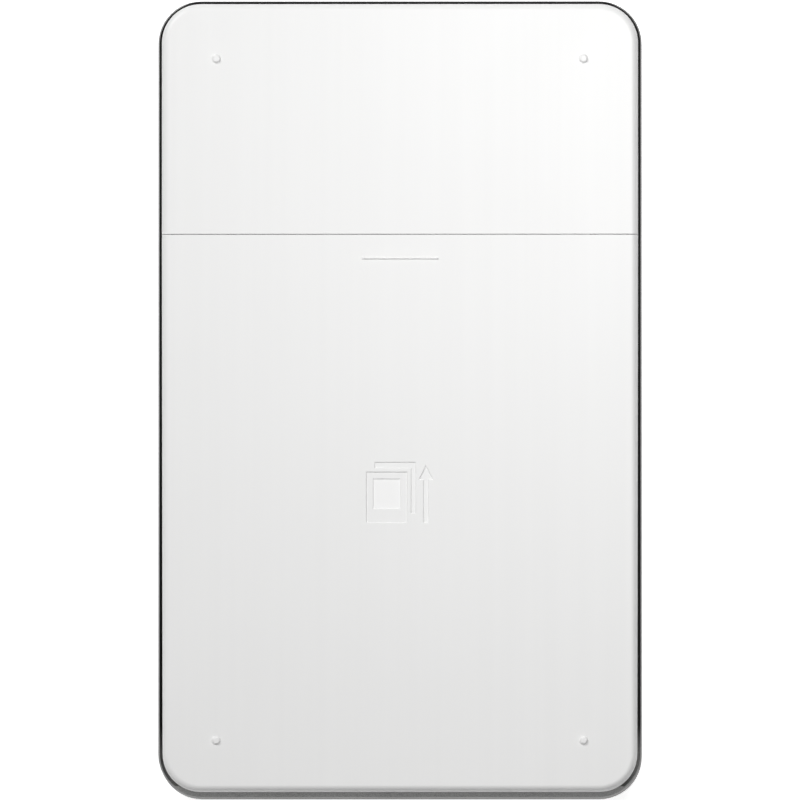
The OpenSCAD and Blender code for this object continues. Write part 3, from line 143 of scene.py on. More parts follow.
floor_mesh = bpy.data.meshes.new("pale_floor")
ways = ((-1, -1), (1, -1), (1, 1), (-1, 1))
corners = [(x * FLOOR_HALF, y * FLOOR_HALF, FLOOR_Z) for x, y in ways]
floor_mesh.from_pydata(corners, [], [(0, 1, 2, 3)])
floor = bpy.data.objects.new("pale_floor", floor_mesh)
bpy.context.collection.objects.link(floor)
print("floor", 2 * FLOOR_HALF, "m wide")

# %% The floor's finish
FLOOR_WHITE = 0.8
FLOOR_GLOW = 0.75


def seen_rays(tree):
    path = add(tree, "LightPath").outputs
    seen = calc(tree, "MAXIMUM", path["Is Camera Ray"], path["Is Glossy Ray"])
    return calc(tree, "MAXIMUM", seen, path["Is Transmission Ray"])


floor_finish = bpy.data.materials.new("floor_finish")
floor_finish.use_nodes = True
tree = floor_finish.node_tree
tree.nodes.clear()
matt = add(tree, "BsdfDiffuse", {"Color": (FLOOR_WHITE, FLOOR_WHITE, FLOOR_WHITE, 1.0)})
glow = add(tree, "Emission", {"Strength": calc(tree, "MULTIPLY", seen_rays(tree), FLOOR_GLOW)})
both = add(tree, "AddShader", {0: matt.outputs[0], 1: glow.outputs[0]})
add(tree, "OutputMaterial", {"Surface": both.outputs[0]})
floor_mesh.materials.append(floor_finish)
print("floor finish with a glow of", FLOOR_GLOW)

# %% [markdown]
# ## Studio light
# Product pictures use a few large soft lamps, and disc-shaped area lamps are the same. A
# near lamp hangs just beyond the head end, to the right, so the face is brightest there
# and falls off gently towards the hinge end. A far lamp at the upper left lights the left
# flank and draws the pips, and a weak one keeps the hinge side from going dark. An even
# pale world fills the shadows. Together they bring a white surface to about its own
# colour. The lamps point at the origin, where the case stands.

# %% Lamps
# Each lamp's place in metres, its width in metres and its power in watts
LAMPS = {
    "near_lamp": ((0.06, 0.09, 0.27), 0.16, 0.377),
    "far_lamp": ((-1.0, 1.0, 1.15), 0.45, 12.5),
    "hinge_side_lamp": ((-0.55, -1.3, 0.75), 0.6, 2.1),
}


def hang_lamp(name, place, size, power):
    lamp = bpy.data.lights.new(name, "AREA")
    lamp.shape = "DISK"
    lamp.size = size
    lamp.energy = power
    holder = bpy.data.objects.new(name, lamp)
    bpy.context.collection.objects.link(holder)
    holder.location = place
    holder.rotation_euler = (-Vector(place)).to_track_quat("-Z", "Y").to_euler()


for name, (place, size, power) in LAMPS.items():
    hang_lamp(name, place, size, power)
print("lamps", list(LAMPS))

# %% World
FILL = 0.185
SEEN_SKY = 1.0

world = bpy.data.worlds.new("pale_studio")
bpy.context.scene.world = world
world.use_nodes = True
tree = world.node_tree
tree.nodes.clear()
strength = remap(tree, seen_rays(tree), 0.0, 1.0, FILL, SEEN_SKY)
sky = add(tree, "Background", {"Color": (1.0, 1.0, 1.0, 1.0), "Strength": strength})
add(tree, "OutputWorld", {"Surface": sky.outputs[0]})
print("fill light", FILL)

# %% [markdown]
# ## Effects that several finishes share
# Grain, brushed lines, cloudy patches and worn edges turn up on nearly every piece of a
# machine. Each is built once, as a node group with named sockets, and then placed in each
# finish with values of its own. A group gives out only values; the shader itself stays in
# the finish, so that it can be exported. A noise seldom leaves the middle of its range, so
# that middle is stretched over the whole.

# %% Helpers for groups
MIDDLE = (0.3, 0.7)
WIDE_MIDDLE = (0.25, 0.75)
NARROW_MIDDLE = (0.35, 0.65)


def start_group(name, inputs, outputs):
    group = bpy.data.node_groups.new(name, "ShaderNodeTree")
    for label, kind in inputs:
        group.interface.new_socket(label, in_out="INPUT", socket_type="NodeSocket" + kind)
    for label in outputs:
        group.interface.new_socket(label, in_out="OUTPUT", socket_type="NodeSocketFloat")
    start = group.nodes.new("NodeGroupInput")
    end = group.nodes.new("NodeGroupOutput")
    return group, start.outputs, end.inputs


def repeats(group, where, pitch):
    times = calc(group, "DIVIDE", 1.0, pitch)
    return add(group, "VectorMath", {0: where, "Scale": times}, operation="SCALE").outputs[0]


print("helpers for groups: start_group, repeats")

# %% [markdown]
# ### Moulded grain
# A mould is often roughened with sparks, which leaves a skin of tiny rounded pits. Noise
# with a few octaves is close to it. The group gives the height for a bump, and a second,
# wider noise as a tone that lightens and darkens the colour.

# %% Moulded grain
moulded_grain, start, end = start_group(
    "moulded_grain", [("Vector", "Vector"), ("Pitch", "Float")], ["Height", "Tone"])
scaled = repeats(moulded_grain, start["Vector"], start["Pitch"])
fine = {"Vector": scaled, "Scale": 1.0, "Detail": 2.0, "Roughness": 0.6}
pits = add(moulded_grain, "TexNoise", fine)
patch = add(moulded_grain, "TexNoise", {"Vector": scaled, "Scale": 0.22, "Detail": 3.0})
moulded_grain.links.new(pits.outputs[0], end["Height"])
moulded_grain.links.new(remap(moulded_grain, patch.outputs[0], *MIDDLE), end["Tone"])
print("group", moulded_grain.name)

# %% [markdown]
# ### Drawn lines
# Brushing, rolling, drawing and grinding all leave fine lines in one direction. The noise
# is squeezed across the lines and stretched along them: `Repeats` says how often it
# repeats in a metre along each axis.

# %% Drawn lines
drawn_lines, start, end = start_group(
    "drawn_lines", [("Vector", "Vector"), ("Repeats", "Vector")], ["Height", "Tone"])
stretched = calc_vector(drawn_lines, "MULTIPLY", start["Vector"], start["Repeats"])
lines = add(drawn_lines, "TexNoise", {"Vector": stretched, "Scale": 1.0, "Detail": 2.0})
broad = add(drawn_lines, "TexNoise", {"Vector": stretched, "Scale": 0.17, "Detail": 2.0})
drawn_lines.links.new(remap(drawn_lines, lines.outputs[0], *WIDE_MIDDLE), end["Height"])
drawn_lines.links.new(remap(drawn_lines, broad.outputs[0], *MIDDLE), end["Tone"])
print("group", drawn_lines.name)

# %% [markdown]
# ### Clouds
# No surface has one even sheen. Wide soft patches in the colour and the roughness stand
# for handling, flow marks and film thickness.

# %% Clouds
clouds, start, end = start_group("clouds", [("Vector", "Vector"), ("Pitch", "Float")], ["Tone"])
scaled = repeats(clouds, start["Vector"], start["Pitch"])
wisp = add(clouds, "TexNoise", {"Vector": scaled, "Scale": 1.0, "Detail": 4.0, "Distortion": 0.4})
clouds.links.new(remap(clouds, wisp.outputs[0], *MIDDLE), end["Tone"])
print("group", clouds.name)

# %% [markdown]
# ### Worn edges
# Edges are rubbed first. The Bevel node gives the normal that a rounded edge would have,
# and where it differs from the true normal there is an edge. A noise breaks the mask up,
# so that the wear comes and goes along the edge.

# %% Worn edges
EDGE_FROM = 0.01
EDGE_FULL = 0.2
LEAST_WEAR = 0.25

worn_edges, start, end = start_group(
    "worn_edges", [("Vector", "Vector"), ("Reach", "Float"), ("Pitch", "Float")], ["Wear"])
rounded = add(worn_edges, "Bevel", {"Radius": start["Reach"]}, samples=4).outputs[0]
facing = add(worn_edges, "NewGeometry").outputs["Normal"]
alike = add(worn_edges, "VectorMath", {0: rounded, 1: facing}, operation="DOT_PRODUCT")
turned = calc(worn_edges, "SUBTRACT", 1.0, alike.outputs["Value"])
edge = remap(worn_edges, turned, EDGE_FROM, EDGE_FULL)
scaled = repeats(worn_edges, start["Vector"], start["Pitch"])
rub = add(worn_edges, "TexNoise", {"Vector": scaled, "Scale": 1.0})
broken = remap(worn_edges, rub.outputs[0], *NARROW_MIDDLE, LEAST_WEAR, 1.0)
worn_edges.links.new(calc(worn_edges, "MULTIPLY", edge, broken), end["Wear"])
print("group", worn_edges.name)

# %% [markdown]
# ## How a finish is put together
# `start_finish` makes a material with the colour that the record gives to its slot.
# `layer` then stacks the shared effects on it: the tone shifts the colour by `swing`, the
# wear mixes in a rubbed colour, the clouds move the roughness by `sway`, and the height
# goes to a bump with the `depth` that it has on the real surface. `worn` says what wear
# is like: the rubbed colour, how far it reaches from an edge, and how rough it is there.
# `dress` puts the material on every solid of that slot.

# %% Slots and their colours
base_colour = {m["slot"]: (*m["base_color"], 1.0) for m in frame["record"]["materials"]}
slot_nodes = {}
for piece in frame["record"]["subparts"]:
    slot_nodes.setdefault(piece["material_slot"], []).append(piece["node"])
finishes = {}
print(len(slot_nodes), "slots:", *slot_nodes)

# %% The start of a finish
def start_finish(slot, roughness, **plain):
    material = bpy.data.materials.new(slot + "_finish")
    material.use_nodes = True
    web = material.node_tree
    shader = web.nodes["Principled BSDF"]
    shader.inputs["Base Color"].default_value = base_colour[slot]
    shader.inputs["Roughness"].default_value = roughness
    for name, value in plain.items():
        shader.inputs[name.replace("_", " ")].default_value = value
    finishes[slot] = material
    return web, shader, add(web, "TexCoord").outputs["Object"]


def dress(slot):
    for name in slot_nodes[slot]:
        for holder in part[name].material_slots:
            holder.material = finishes[slot]
    print(slot, "on", len(slot_nodes[slot]), "nodes")


print("helpers for finishes: start_finish, dress")

# %% Colours and effects in a finish
def tint(web, colour, tone, swing):
    if not isinstance(colour, bpy.types.NodeSocket):
        colour = colour[:3]
    factor = remap(web, tone, 0.0, 1.0, 1.0 - swing, 1.0 + swing)
    return add(web, "VectorMath", {0: colour, "Scale": factor}, operation="SCALE").outputs[0]


def mix_colours(web, share, first, second):
    return add(web, "Mix", {0: share, 6: first, 7: second}, data_type="RGBA").outputs[2]


def effect(web, group, where, **values):
    return add(web, "Group", {"Vector": where, **values}, node_tree=group).outputs


def worn(colour, reach, roughness):
    return (*colour, 1.0), reach, roughness


print("helpers for colours and effects: tint, mix_colours, effect, worn")

# %% The layers of a finish
WEAR_PITCH = 1.2 * MM
CLOUD_PITCH = 9 * MM


def layer(web, shader, where, colour, texture, swing, depth, sway,
          wear=None, cloud_pitch=CLOUD_PITCH):
    patches = effect(web, clouds, where, Pitch=cloud_pitch)["Tone"]
    toned = tint(web, tint(web, colour, texture["Tone"], swing), patches, swing / 2)
    rough = shader.inputs["Roughness"].default_value
    uneven = remap(web, patches, 0.0, 1.0, rough - sway, rough + sway)
    if wear:
        rubbed_colour, reach, rubbed_rough = wear
        mask = effect(web, worn_edges, where, Reach=reach, Pitch=WEAR_PITCH)["Wear"]
        toned = mix_colours(web, mask, toned, rubbed_colour)
        change = calc(web, "MULTIPLY", mask, rubbed_rough - rough)
        uneven = calc(web, "ADD", uneven, change)
    web.links.new(toned, shader.inputs["Base Color"])
    web.links.new(uneven, shader.inputs["Roughness"])
    bump = add(web, "Bump", {"Height": texture["Height"], "Distance": depth, "Strength": 1.0})
    web.links.new(bump.outputs[0], shader.inputs["Normal"])


print("patches of", CLOUD_PITCH / MM, "mm, wear broken up every", WEAR_PITCH / MM, "mm")

# %% [markdown]
# ## The white shell
# The panels are satin white plastic with a very fine brushed texture that runs along the
# case: lines a third of a millimetre apart, which catch the light only faintly. So the
# swing of the colour is small, and the bump is about a thousandth of a millimetre deep.
# The case is new, so nothing is worn off: its edges are only a little paler and smoother.

# %% White shell
web, shader, where = start_finish("white_shell", roughness=0.38)
brushed = effect(web, drawn_lines, where, Repeats=(3300.0, 45.0, 3300.0))
layer(web, shader, where, base_colour["white_shell"], brushed,
      swing=0.006, depth=0.0012 * MM, sway=0.03,
      wear=worn((0.93, 0.93, 0.925), reach=0.15 * MM, roughness=0.3), cloud_pitch=22 * MM)
dress("white_shell")

# %% [markdown]
# ## The dark band
# The band is painted in a dark metallic grey. Metal paint is small bright flakes in a
# satin lacquer, so Voronoi cells a tenth of a millimetre wide give each flake a tone of
# its own. The shader is only partly metallic and its sheen is weak, or the band would
# mirror the white floor. The narrow rim on top gets a brighter grey, a painted highlight
# for the light that falls on it, and the groove inside it is painted near-black, as
# painted shade for the shade that lies in it. Both are masks from the place: the height,
# and the distance from the rounded outline.

# %% How far a point is inside the outline
OUTLINE_R = 6.5 * MM
band_high = Vector(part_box("side_band")[1])


def inside_outline(web, where):
    straight = band_high - Vector((OUTLINE_R, OUTLINE_R, 0.0))
    past = calc_vector(web, "SUBTRACT", calc_vector(web, "ABSOLUTE", where), straight)
    kept = calc_vector(web, "MAXIMUM", past)
    flat = calc_vector(web, "MULTIPLY", kept, (1.0, 1.0, 0.0))
    reach = add(web, "VectorMath", {0: flat}, operation="LENGTH").outputs["Value"]
    return calc(web, "SUBTRACT", OUTLINE_R, reach)


print("outline radius", round(OUTLINE_R / MM, 2), "mm")

# %% [markdown]
# ### Where the painted shade shows
# The black in the groove is painted shade. The groove is in deep shade along both sides
# and at the head end, where even the top of the rim is painted black over the last
# stretch: the distance gets a little extra there, so the mask starts nearer the outline.
# Towards the hinge end the groove opens to the light, so the painted black fades out.

# %% Dark band
RIM_DEPTH = 0.55 * MM
RIM_FADE = 0.15 * RIM_DEPTH
# Brighter grey on top of the rim: a painted highlight for the light that falls on it.
RIM_PAINTED_HIGHLIGHT = (0.30, 0.30, 0.297, 1.0)
GROOVE_FROM = 0.18 * MM
GROOVE_FADE = 0.03 * MM
# Near-black for the groove: painted shade where the groove lies in deep shade.
GROOVE_PAINTED_SHADE = (0.012, 0.012, 0.012, 1.0)
HINGE_SIDE = -50 * MM
HINGE_FADE = 4 * MM
HEAD_SIDE = 60.8 * MM
HEAD_FADE = 0.7 * MM
HEAD_SHADE = 0.12 * MM
FLAKE = 0.1 * MM

web, shader, where = start_finish("grey_band", roughness=0.52, Metallic=0.35, Specular_IOR_Level=0.2)
place = add(web, "SeparateXYZ", {0: where}).outputs
# The rim mask marks the top of the rim for the painted highlight.
rim_foot = band_high.z - RIM_DEPTH
rim = remap(web, place["Z"], rim_foot, rim_foot + RIM_FADE)
# The painted shade comes nearer the outline at the head end and fades towards the hinge end, where
# light gets in.
head_shade = remap(web, place["Y"], HEAD_SIDE - HEAD_FADE, HEAD_SIDE, 0.0, HEAD_SHADE)
inward = calc(web, "ADD", inside_outline(web, where), head_shade)
off_outline = remap(web, inward, GROOVE_FROM, GROOVE_FROM + GROOVE_FADE)
off_hinge = remap(web, place["Y"], HINGE_SIDE - HINGE_FADE, HINGE_SIDE)
groove_painted_shade = calc(web, "MULTIPLY", off_outline, off_hinge)
grain = effect(web, moulded_grain, where, Pitch=0.16 * MM)
flakes = add(web, "TexVoronoi", {"Vector": where, "Scale": 1 / FLAKE})
flake_tone = add(web, "SeparateColor", {0: flakes.outputs["Color"]}).outputs[0]
band_with_rim_highlight = mix_colours(web, rim, base_colour["grey_band"], RIM_PAINTED_HIGHLIGHT)
painted = tint(web, band_with_rim_highlight, flake_tone, swing=0.22)
# The groove is painted near-black as painted shade.
band_with_painted_shade = mix_colours(web, groove_painted_shade, painted, GROOVE_PAINTED_SHADE)
layer(web, shader, where, band_with_painted_shade, grain, swing=0.05, depth=0.002 * MM, sway=0.05)
dress("grey_band")

# %% [markdown]
# ## The tray and its pad
# Inside, the tray, the pressure pad and the exit guide are charcoal mouldings with a
# spark-roughened skin: matt, with coarser pits than the shell, and rubbed paler where
# sheets of paper slide over the edges.

# %% Tray plastic
web, shader, where = start_finish("tray_plastic", roughness=0.58)
grain = effect(web, moulded_grain, where, Pitch=0.2 * MM)
layer(web, shader, where, base_colour["tray_plastic"], grain,
      swing=0.14, depth=0.012 * MM, sway=0.07,
      wear=worn((0.14, 0.142, 0.148), reach=0.15 * MM, roughness=0.42))
dress("tray_plastic")

# %% [markdown]
# ## Metals
# The frame, rods, springs, screws and motor can are all steel, but each is made another
# way: sheet is rolled along its length and plated with zinc, rods are ground round, wire
# is drawn, and the can is pressed. The heat sink is rolled aluminium and the pinion turned
# brass. One function makes them all, and the direction of the lines, their depth and the
# sheen tell them apart. Metal is mirror-like, so the roughness matters more than the
# colour, and a rubbed edge is smoother and a little brighter than the face beside it.

# %% Metals
RUBBED_SMOOTHER = 0.08


def metal(slot, roughness, repeats_each_way, swing, depth, sway, edge_gain=1.35):
    web, shader, where = start_finish(slot, roughness, Metallic=1.0)
    lines = effect(web, drawn_lines, where, Repeats=repeats_each_way)
    colour = base_colour[slot]
    edge_colour = [min(1.0, c * edge_gain) for c in colour[:3]]
    rubbed = worn(edge_colour, reach=0.1 * MM, roughness=roughness - RUBBED_SMOOTHER)
    layer(web, shader, where, colour, lines, swing, depth, sway, wear=rubbed)
    dress(slot)


# Roughness, repeats in a metre along X, Y and Z, swing, depth, sway, and gain of the edges
METALS = {
    "frame_steel": (0.34, (2600.0, 60.0, 2600.0), 0.1, 0.003 * MM, 0.08),
    "rod_steel": (0.2, (5200.0, 90.0, 90.0), 0.06, 0.0015 * MM, 0.05),
    "spring_steel": (0.3, (900.0, 300.0, 900.0), 0.12, 0.002 * MM, 0.06),
    "screw_steel": (0.28, (1500.0, 1500.0, 4200.0), 0.14, 0.003 * MM, 0.08),
    "motor_can": (0.26, (3600.0, 70.0, 70.0), 0.08, 0.002 * MM, 0.06),
    "sink_aluminium": (0.36, (50.0, 2800.0, 2800.0), 0.08, 0.004 * MM, 0.08, 1.15),
    "pinion_brass": (0.3, (4200.0, 200.0, 200.0), 0.14, 0.002 * MM, 0.08, 1.2),
}
for slot, look in METALS.items():
    metal(slot, *look)

# %% [markdown]
# ## Gears and bushes
# They are moulded in natural acetal, a waxy off-white plastic. It lets a little light in
# under its skin, so the shader gets a small subsurface weight, and the tooth edges are
# polished by running.

# %% Gear plastic
web, shader, where = start_finish("gear_plastic", roughness=0.42,
                                  Subsurface_Weight=0.12, Subsurface_Scale=0.6 * MM)
grain = effect(web, moulded_grain, where, Pitch=0.12 * MM)
layer(web, shader, where, base_colour["gear_plastic"], grain,
      swing=0.04, depth=0.003 * MM, sway=0.06,
      wear=worn((0.88, 0.87, 0.81), reach=0.08 * MM, roughness=0.28))
dress("gear_plastic")

# %% [markdown]
# ## Rollers
# The tyres are ground black rubber. Grinding leaves a matt skin with fine rings, and
# paper leaves a pale bloom on it. The rings run round the axis, so the noise is squeezed
# along X; the bloom is a cloudy share of a warm grey.

# %% Roller rubber
PAPER_DUST = (0.2, 0.19, 0.18, 1.0)
MOST_DUST = 0.22

web, shader, where = start_finish("roller_rubber", roughness=0.72)
rings = effect(web, drawn_lines, where, Repeats=(4800.0, 700.0, 700.0))
bloom = effect(web, clouds, where, Pitch=3.5 * MM)["Tone"]
dust = calc(web, "MULTIPLY", bloom, MOST_DUST)
dusted = mix_colours(web, dust, base_colour["roller_rubber"], PAPER_DUST)
layer(web, shader, where, dusted, rings, swing=0.16, depth=0.01 * MM, sway=0.06)
dress("roller_rubber")

# %% [markdown]
# ## Cork
# The separation pad is pressed cork: crumbs glued together, each with its own brown, and
# dark gaps between them. Voronoi cells are the crumbs; the distance to a cell's edge
# gives the gaps and the bump.

# %% Cork
CRUMB = 0.7 * MM
GAP_SHARE = 0.12
GAP_BROWN = (0.12, 0.07, 0.035, 1.0)

web, shader, where = start_finish("cork", roughness=0.85)
cells = {"Vector": where, "Scale": 1 / CRUMB}
crumbs = add(web, "TexVoronoi", {**cells, "Randomness": 1.0})
crumb_tone = add(web, "SeparateColor", {0: crumbs.outputs["Color"]}).outputs[0]
gaps = add(web, "TexVoronoi", cells, feature="DISTANCE_TO_EDGE")
gap_mask = remap(web, gaps.outputs[0], 0.0, GAP_SHARE, 1.0, 0.0)
browns = tint(web, base_colour["cork"], crumb_tone, swing=0.35)
cork_colour = mix_colours(web, gap_mask, browns, GAP_BROWN)
grain = effect(web, moulded_grain, where, Pitch=0.15 * MM)
height = calc(web, "SUBTRACT", grain["Height"], gap_mask)
layer(web, shader, where, cork_colour, {"Tone": grain["Tone"], "Height": height},
      swing=0.1, depth=0.04 * MM, sway=0.05)
dress("cork")

# %% [markdown]
# ## The print head
# The head is a glazed white ceramic plate. Across it, under the platen's crown, runs the
# heater line: a thin brown stripe of glass with dark leads on both sides. Its place is
# known, so a mask made from the Y coordinate paints it.

# %% Head ceramic
HEATER_HALF = 0.35 * MM
HEATER_BROWN = (0.09, 0.05, 0.035, 1.0)
LEADS_HALF = 2.4 * MM
LEADS_OCHRE = (0.42, 0.36, 0.24, 1.0)
COMB_SCALE = 520.0
HEATER_BLUR = 1.2
LEADS_BLUR = 1.05
platen_low, platen_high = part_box("platen_rubber")
heater_y = (platen_low[1] + platen_high[1]) / 2

web, shader, where = start_finish("head_ceramic", roughness=0.3, Coat_Weight=0.4, Coat_Roughness=0.12)
across = add(web, "SeparateXYZ", {0: where}).outputs["Y"]
off_line = calc(web, "ABSOLUTE", calc(web, "SUBTRACT", across, heater_y))
heater = remap(web, off_line, HEATER_HALF, HEATER_HALF * HEATER_BLUR, 1.0, 0.0)
leads = remap(web, off_line, LEADS_HALF, LEADS_HALF * LEADS_BLUR, 1.0, 0.0)
comb = add(web, "TexWave", {"Vector": where, "Scale": COMB_SCALE}, bands_direction="X").outputs[1]
lead_mask = calc(web, "MULTIPLY", leads, remap(web, comb, *NARROW_MIDDLE))
plate = mix_colours(web, lead_mask, base_colour["head_ceramic"], LEADS_OCHRE)
striped = mix_colours(web, heater, plate, HEATER_BROWN)
grain = effect(web, moulded_grain, where, Pitch=0.3 * MM)
layer(web, shader, where, striped, grain, swing=0.04, depth=0.002 * MM, sway=0.05)
dress("head_ceramic")

# %% [markdown]
# ## The battery
# A pouch cell is wrapped in dull laminated foil that creases softly, with an amber tape
# over the end where its leads come out. The creases are a wide noise with a deep bump;
# the tape is a mask from the Y coordinate.

# %% Battery foil
TAPE_LENGTH = 5 * MM
TAPE_EDGE = 0.1 * MM
TAPE_AMBER = (0.6, 0.32, 0.05, 1.0)
tape_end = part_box("battery")[0][1] + TAPE_LENGTH

web, shader, where = start_finish("battery_foil", roughness=0.4, Metallic=0.75)
creases = effect(web, moulded_grain, where, Pitch=2.4 * MM)
along = add(web, "SeparateXYZ", {0: where}).outputs["Y"]
tape = remap(web, along, tape_end, tape_end + TAPE_EDGE, 1.0, 0.0)
wrapped = mix_colours(web, tape, base_colour["battery_foil"], TAPE_AMBER)
layer(web, shader, where, wrapped, creases, swing=0.06, depth=0.05 * MM, sway=0.08)
dress("battery_foil")

# %% [markdown]
# ## Leads and the flat cable
# The leads have soft red insulation with a faint grain from the extruder. The flat cable
# stands on edge: an amber film with copper tracks half a millimetre apart, so a wave along
# Z gives the tracks, which are both brighter and more metallic than the film.

# %% Leads
web, shader, where = start_finish("wire_red", roughness=0.45)
grain = effect(web, moulded_grain, where, Pitch=0.25 * MM)
layer(web, shader, where, base_colour["wire_red"], grain, swing=0.1, depth=0.004 * MM, sway=0.06)
dress("wire_red")

# %% Flat cable
TRACK_PITCH = 0.5 * MM
TRACK_COPPER = (0.8, 0.42, 0.2, 1.0)
TRACK_METAL = 0.7
TRACK_FROM = -0.1
TRACK_FULL = 0.3

web, shader, where = start_finish("flex_copper", roughness=0.32)
up = add(web, "SeparateXYZ", {0: where}).outputs["Z"]
ripple = calc(web, "SINE", calc(web, "MULTIPLY", up, 2 * math.pi / TRACK_PITCH))
track = remap(web, ripple, TRACK_FROM, TRACK_FULL)
film = mix_colours(web, track, base_colour["flex_copper"], TRACK_COPPER)
web.links.new(calc(web, "MULTIPLY", track, TRACK_METAL), shader.inputs["Metallic"])
grain = effect(web, moulded_grain, where, Pitch=0.3 * MM)
layer(web, shader, where, film, {"Tone": grain["Tone"], "Height": track},
      swing=0.05, depth=0.01 * MM, sway=0.05)
dress("flex_copper")

# %% [markdown]
# ## The main board
# Green solder mask lies over copper tracks, which show through as slightly lighter lines.
# Chebychev distance makes Voronoi cells with straight borders, close to the look of
# routed tracks. The mask is glossy, so the board gets a thin coat.

# %% Board
ROUTE_PITCH = 1.6 * MM
ROUTE_SOLID = 0.06
ROUTE_GONE = 0.1
ROUTE_GREEN = (0.045, 0.26, 0.12, 1.0)

web, shader, where = start_finish("board_green", roughness=0.34, Coat_Weight=0.3, Coat_Roughness=0.15)
cells = {"Vector": where, "Scale": 1 / ROUTE_PITCH}
nearest, second = (add(web, "TexVoronoi", cells, distance="CHEBYCHEV", feature=feature)
                   for feature in ("F1", "F2"))
between = calc(web, "SUBTRACT", second.outputs["Distance"], nearest.outputs["Distance"])
copper_track = remap(web, between, ROUTE_SOLID, ROUTE_GONE, 1.0, 0.0)
masked = mix_colours(web, copper_track, base_colour["board_green"], ROUTE_GREEN)
grain = effect(web, moulded_grain, where, Pitch=0.2 * MM)
layer(web, shader, where, masked, {"Tone": grain["Tone"], "Height": copper_track},
      swing=0.08, depth=0.02 * MM, sway=0.05)
dress("board_green")

# %% [markdown]
# ## Chips, sensors and light rods
# Chip packages are moulded from a black resin with a fine even grain and slightly paler
# edges. The light rods are clear plastic, frosted at the tip so that the lamp behind them
# spreads: most light passes, and the rest is scattered by a rough skin.

# %% Chips
web, shader, where = start_finish("chip_black", roughness=0.55)
grain = effect(web, moulded_grain, where, Pitch=0.1 * MM)
layer(web, shader, where, base_colour["chip_black"], grain,
      swing=0.14, depth=0.004 * MM, sway=0.06,
      wear=worn((0.06, 0.06, 0.062), reach=0.08 * MM, roughness=0.45))
dress("chip_black")

# %% Light rods
web, shader, where = start_finish("light_clear", roughness=0.38, Transmission_Weight=0.5, IOR=1.49)
grain = effect(web, moulded_grain, where, Pitch=0.12 * MM)
layer(web, shader, where, base_colour["light_clear"], grain, swing=0.03, depth=0.004 * MM, sway=0.06)
dress("light_clear")

# %% [markdown]
# ## The felt strip
# Felt is a mat of short fibres with no thread direction. Two noises, stretched crosswise
# and laid over each other, look like fibres; a little sheen stands for the fuzz.

# %% Felt finish
web, shader, where = start_finish("felt", roughness=0.95, Sheen_Weight=0.35, Sheen_Roughness=0.5)
one_way = effect(web, drawn_lines, where, Repeats=(5000.0, 1100.0, 3000.0))
other_way = effect(web, drawn_lines, where, Repeats=(1100.0, 5000.0, 3000.0))
fibres = calc(web, "MAXIMUM", one_way["Height"], other_way["Height"])
tangle = {"Tone": fibres, "Height": fibres}
layer(web, shader, where, base_colour["felt"], tangle,
      swing=0.45, depth=0.06 * MM, sway=0.04, cloud_pitch=2 * MM)
dress("felt")

# %% [markdown]
# ## Soft copies of the outer shells
# A construction solid has edges of no width at all, and real mouldings never do. The two
# top panels are therefore copied into new meshes in the same place. The copy is welded,
# because a loaded mesh is split along its edges, and flat areas are joined into one face.
# Weighted normals then keep the flat faces flat and the rounded ones smooth.

# %% Helpers for new shapes
SHARP = math.radians(32)
FLAT = math.radians(0.4)
WELD = 1e-7


def welded(node):
    shape = bmesh.new()
    shape.from_mesh(part[node].data)
    bmesh.ops.remove_doubles(shape, verts=shape.verts, dist=WELD)
    bmesh.ops.dissolve_limit(shape, angle_limit=FLAT, verts=shape.verts, edges=shape.edges)
    return shape


def new_object(name, shape):
    mesh = bpy.data.meshes.new(name)
    shape.to_mesh(mesh)
    shape.free()
    made = bpy.data.objects.new(name, mesh)
    bpy.context.collection.objects.link(made)
    return made


def settle(piece, body, slot, *nodes):
    mesh = piece.data
    if "custom_normal" in mesh.attributes:
        mesh.attributes.remove(mesh.attributes["custom_normal"])
    mesh.polygons.foreach_set("use_smooth", [True] * len(mesh.polygons))
    mesh.set_sharp_from_angle(angle=SHARP)
    mesh.materials.clear()
    mesh.materials.append(finishes[slot])
    even = piece.modifiers.new("even_normals", "WEIGHTED_NORMAL")
    even.keep_sharp = True
    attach(piece, body)
    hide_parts(*nodes)
    print(piece.name, len(mesh.polygons), "faces, in place of", *nodes)


print("helpers for shapes: welded, new_object, settle")

# %% [markdown]
# ### The drawn-in edge
# The panels stand a hair farther inside the band than the construction model has them,
# and the cover a little more so at the hinge end. Every point near the outer edge is
# therefore pulled inwards, by a tenth of a millimetre along the sides and up to a quarter
# at the hinge end. The pull fades out over the rounded shoulder, so the flat face keeps
# its place, and no modifier is needed for so small a change.

# %% The drawn-in edge
CORNER_R = 6.05 * MM
DRAWN_IN = 0.11 * MM
DRAWN_REACH = 1.6 * MM
TAIL_EXTRA = 0.16 * MM
TAIL_FROM = -20 * MM
TAIL_END = -60 * MM
panel_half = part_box("head_panel")[1]


def draw_in(shape, half_x, half_y):
    for vertex in shape.verts:
        off_x = abs(vertex.co.x) - half_x + CORNER_R
        off_y = abs(vertex.co.y) - half_y + CORNER_R
        out = Vector((max(off_x, 0.0), max(off_y, 0.0)))
        share = 1.0 - (CORNER_R - out.length) / DRAWN_REACH
        tail = min(1.0, max(0.0, (vertex.co.y - TAIL_FROM) / (TAIL_END - TAIL_FROM)))
        if share > 0.0:
            pull = out.normalized() * (DRAWN_IN + tail * TAIL_EXTRA) * min(1.0, share)
            vertex.co.x -= math.copysign(pull.x, vertex.co.x)
            vertex.co.y -= math.copysign(pull.y, vertex.co.y)


print("edge drawn in", DRAWN_IN / MM, "mm, at the hinge end", TAIL_EXTRA / MM, "mm more")

# %% [markdown]
# ### The pips
# Each pip is a low round button with steep flanks and a flat crown. The construction
# model has domes of the same height, so no new mesh is needed: the dome's own points are
# spread a little, and each is lifted to the height that a button has at that distance
# from the middle. The flank ends at the crown's full height, and the rest stays flat.

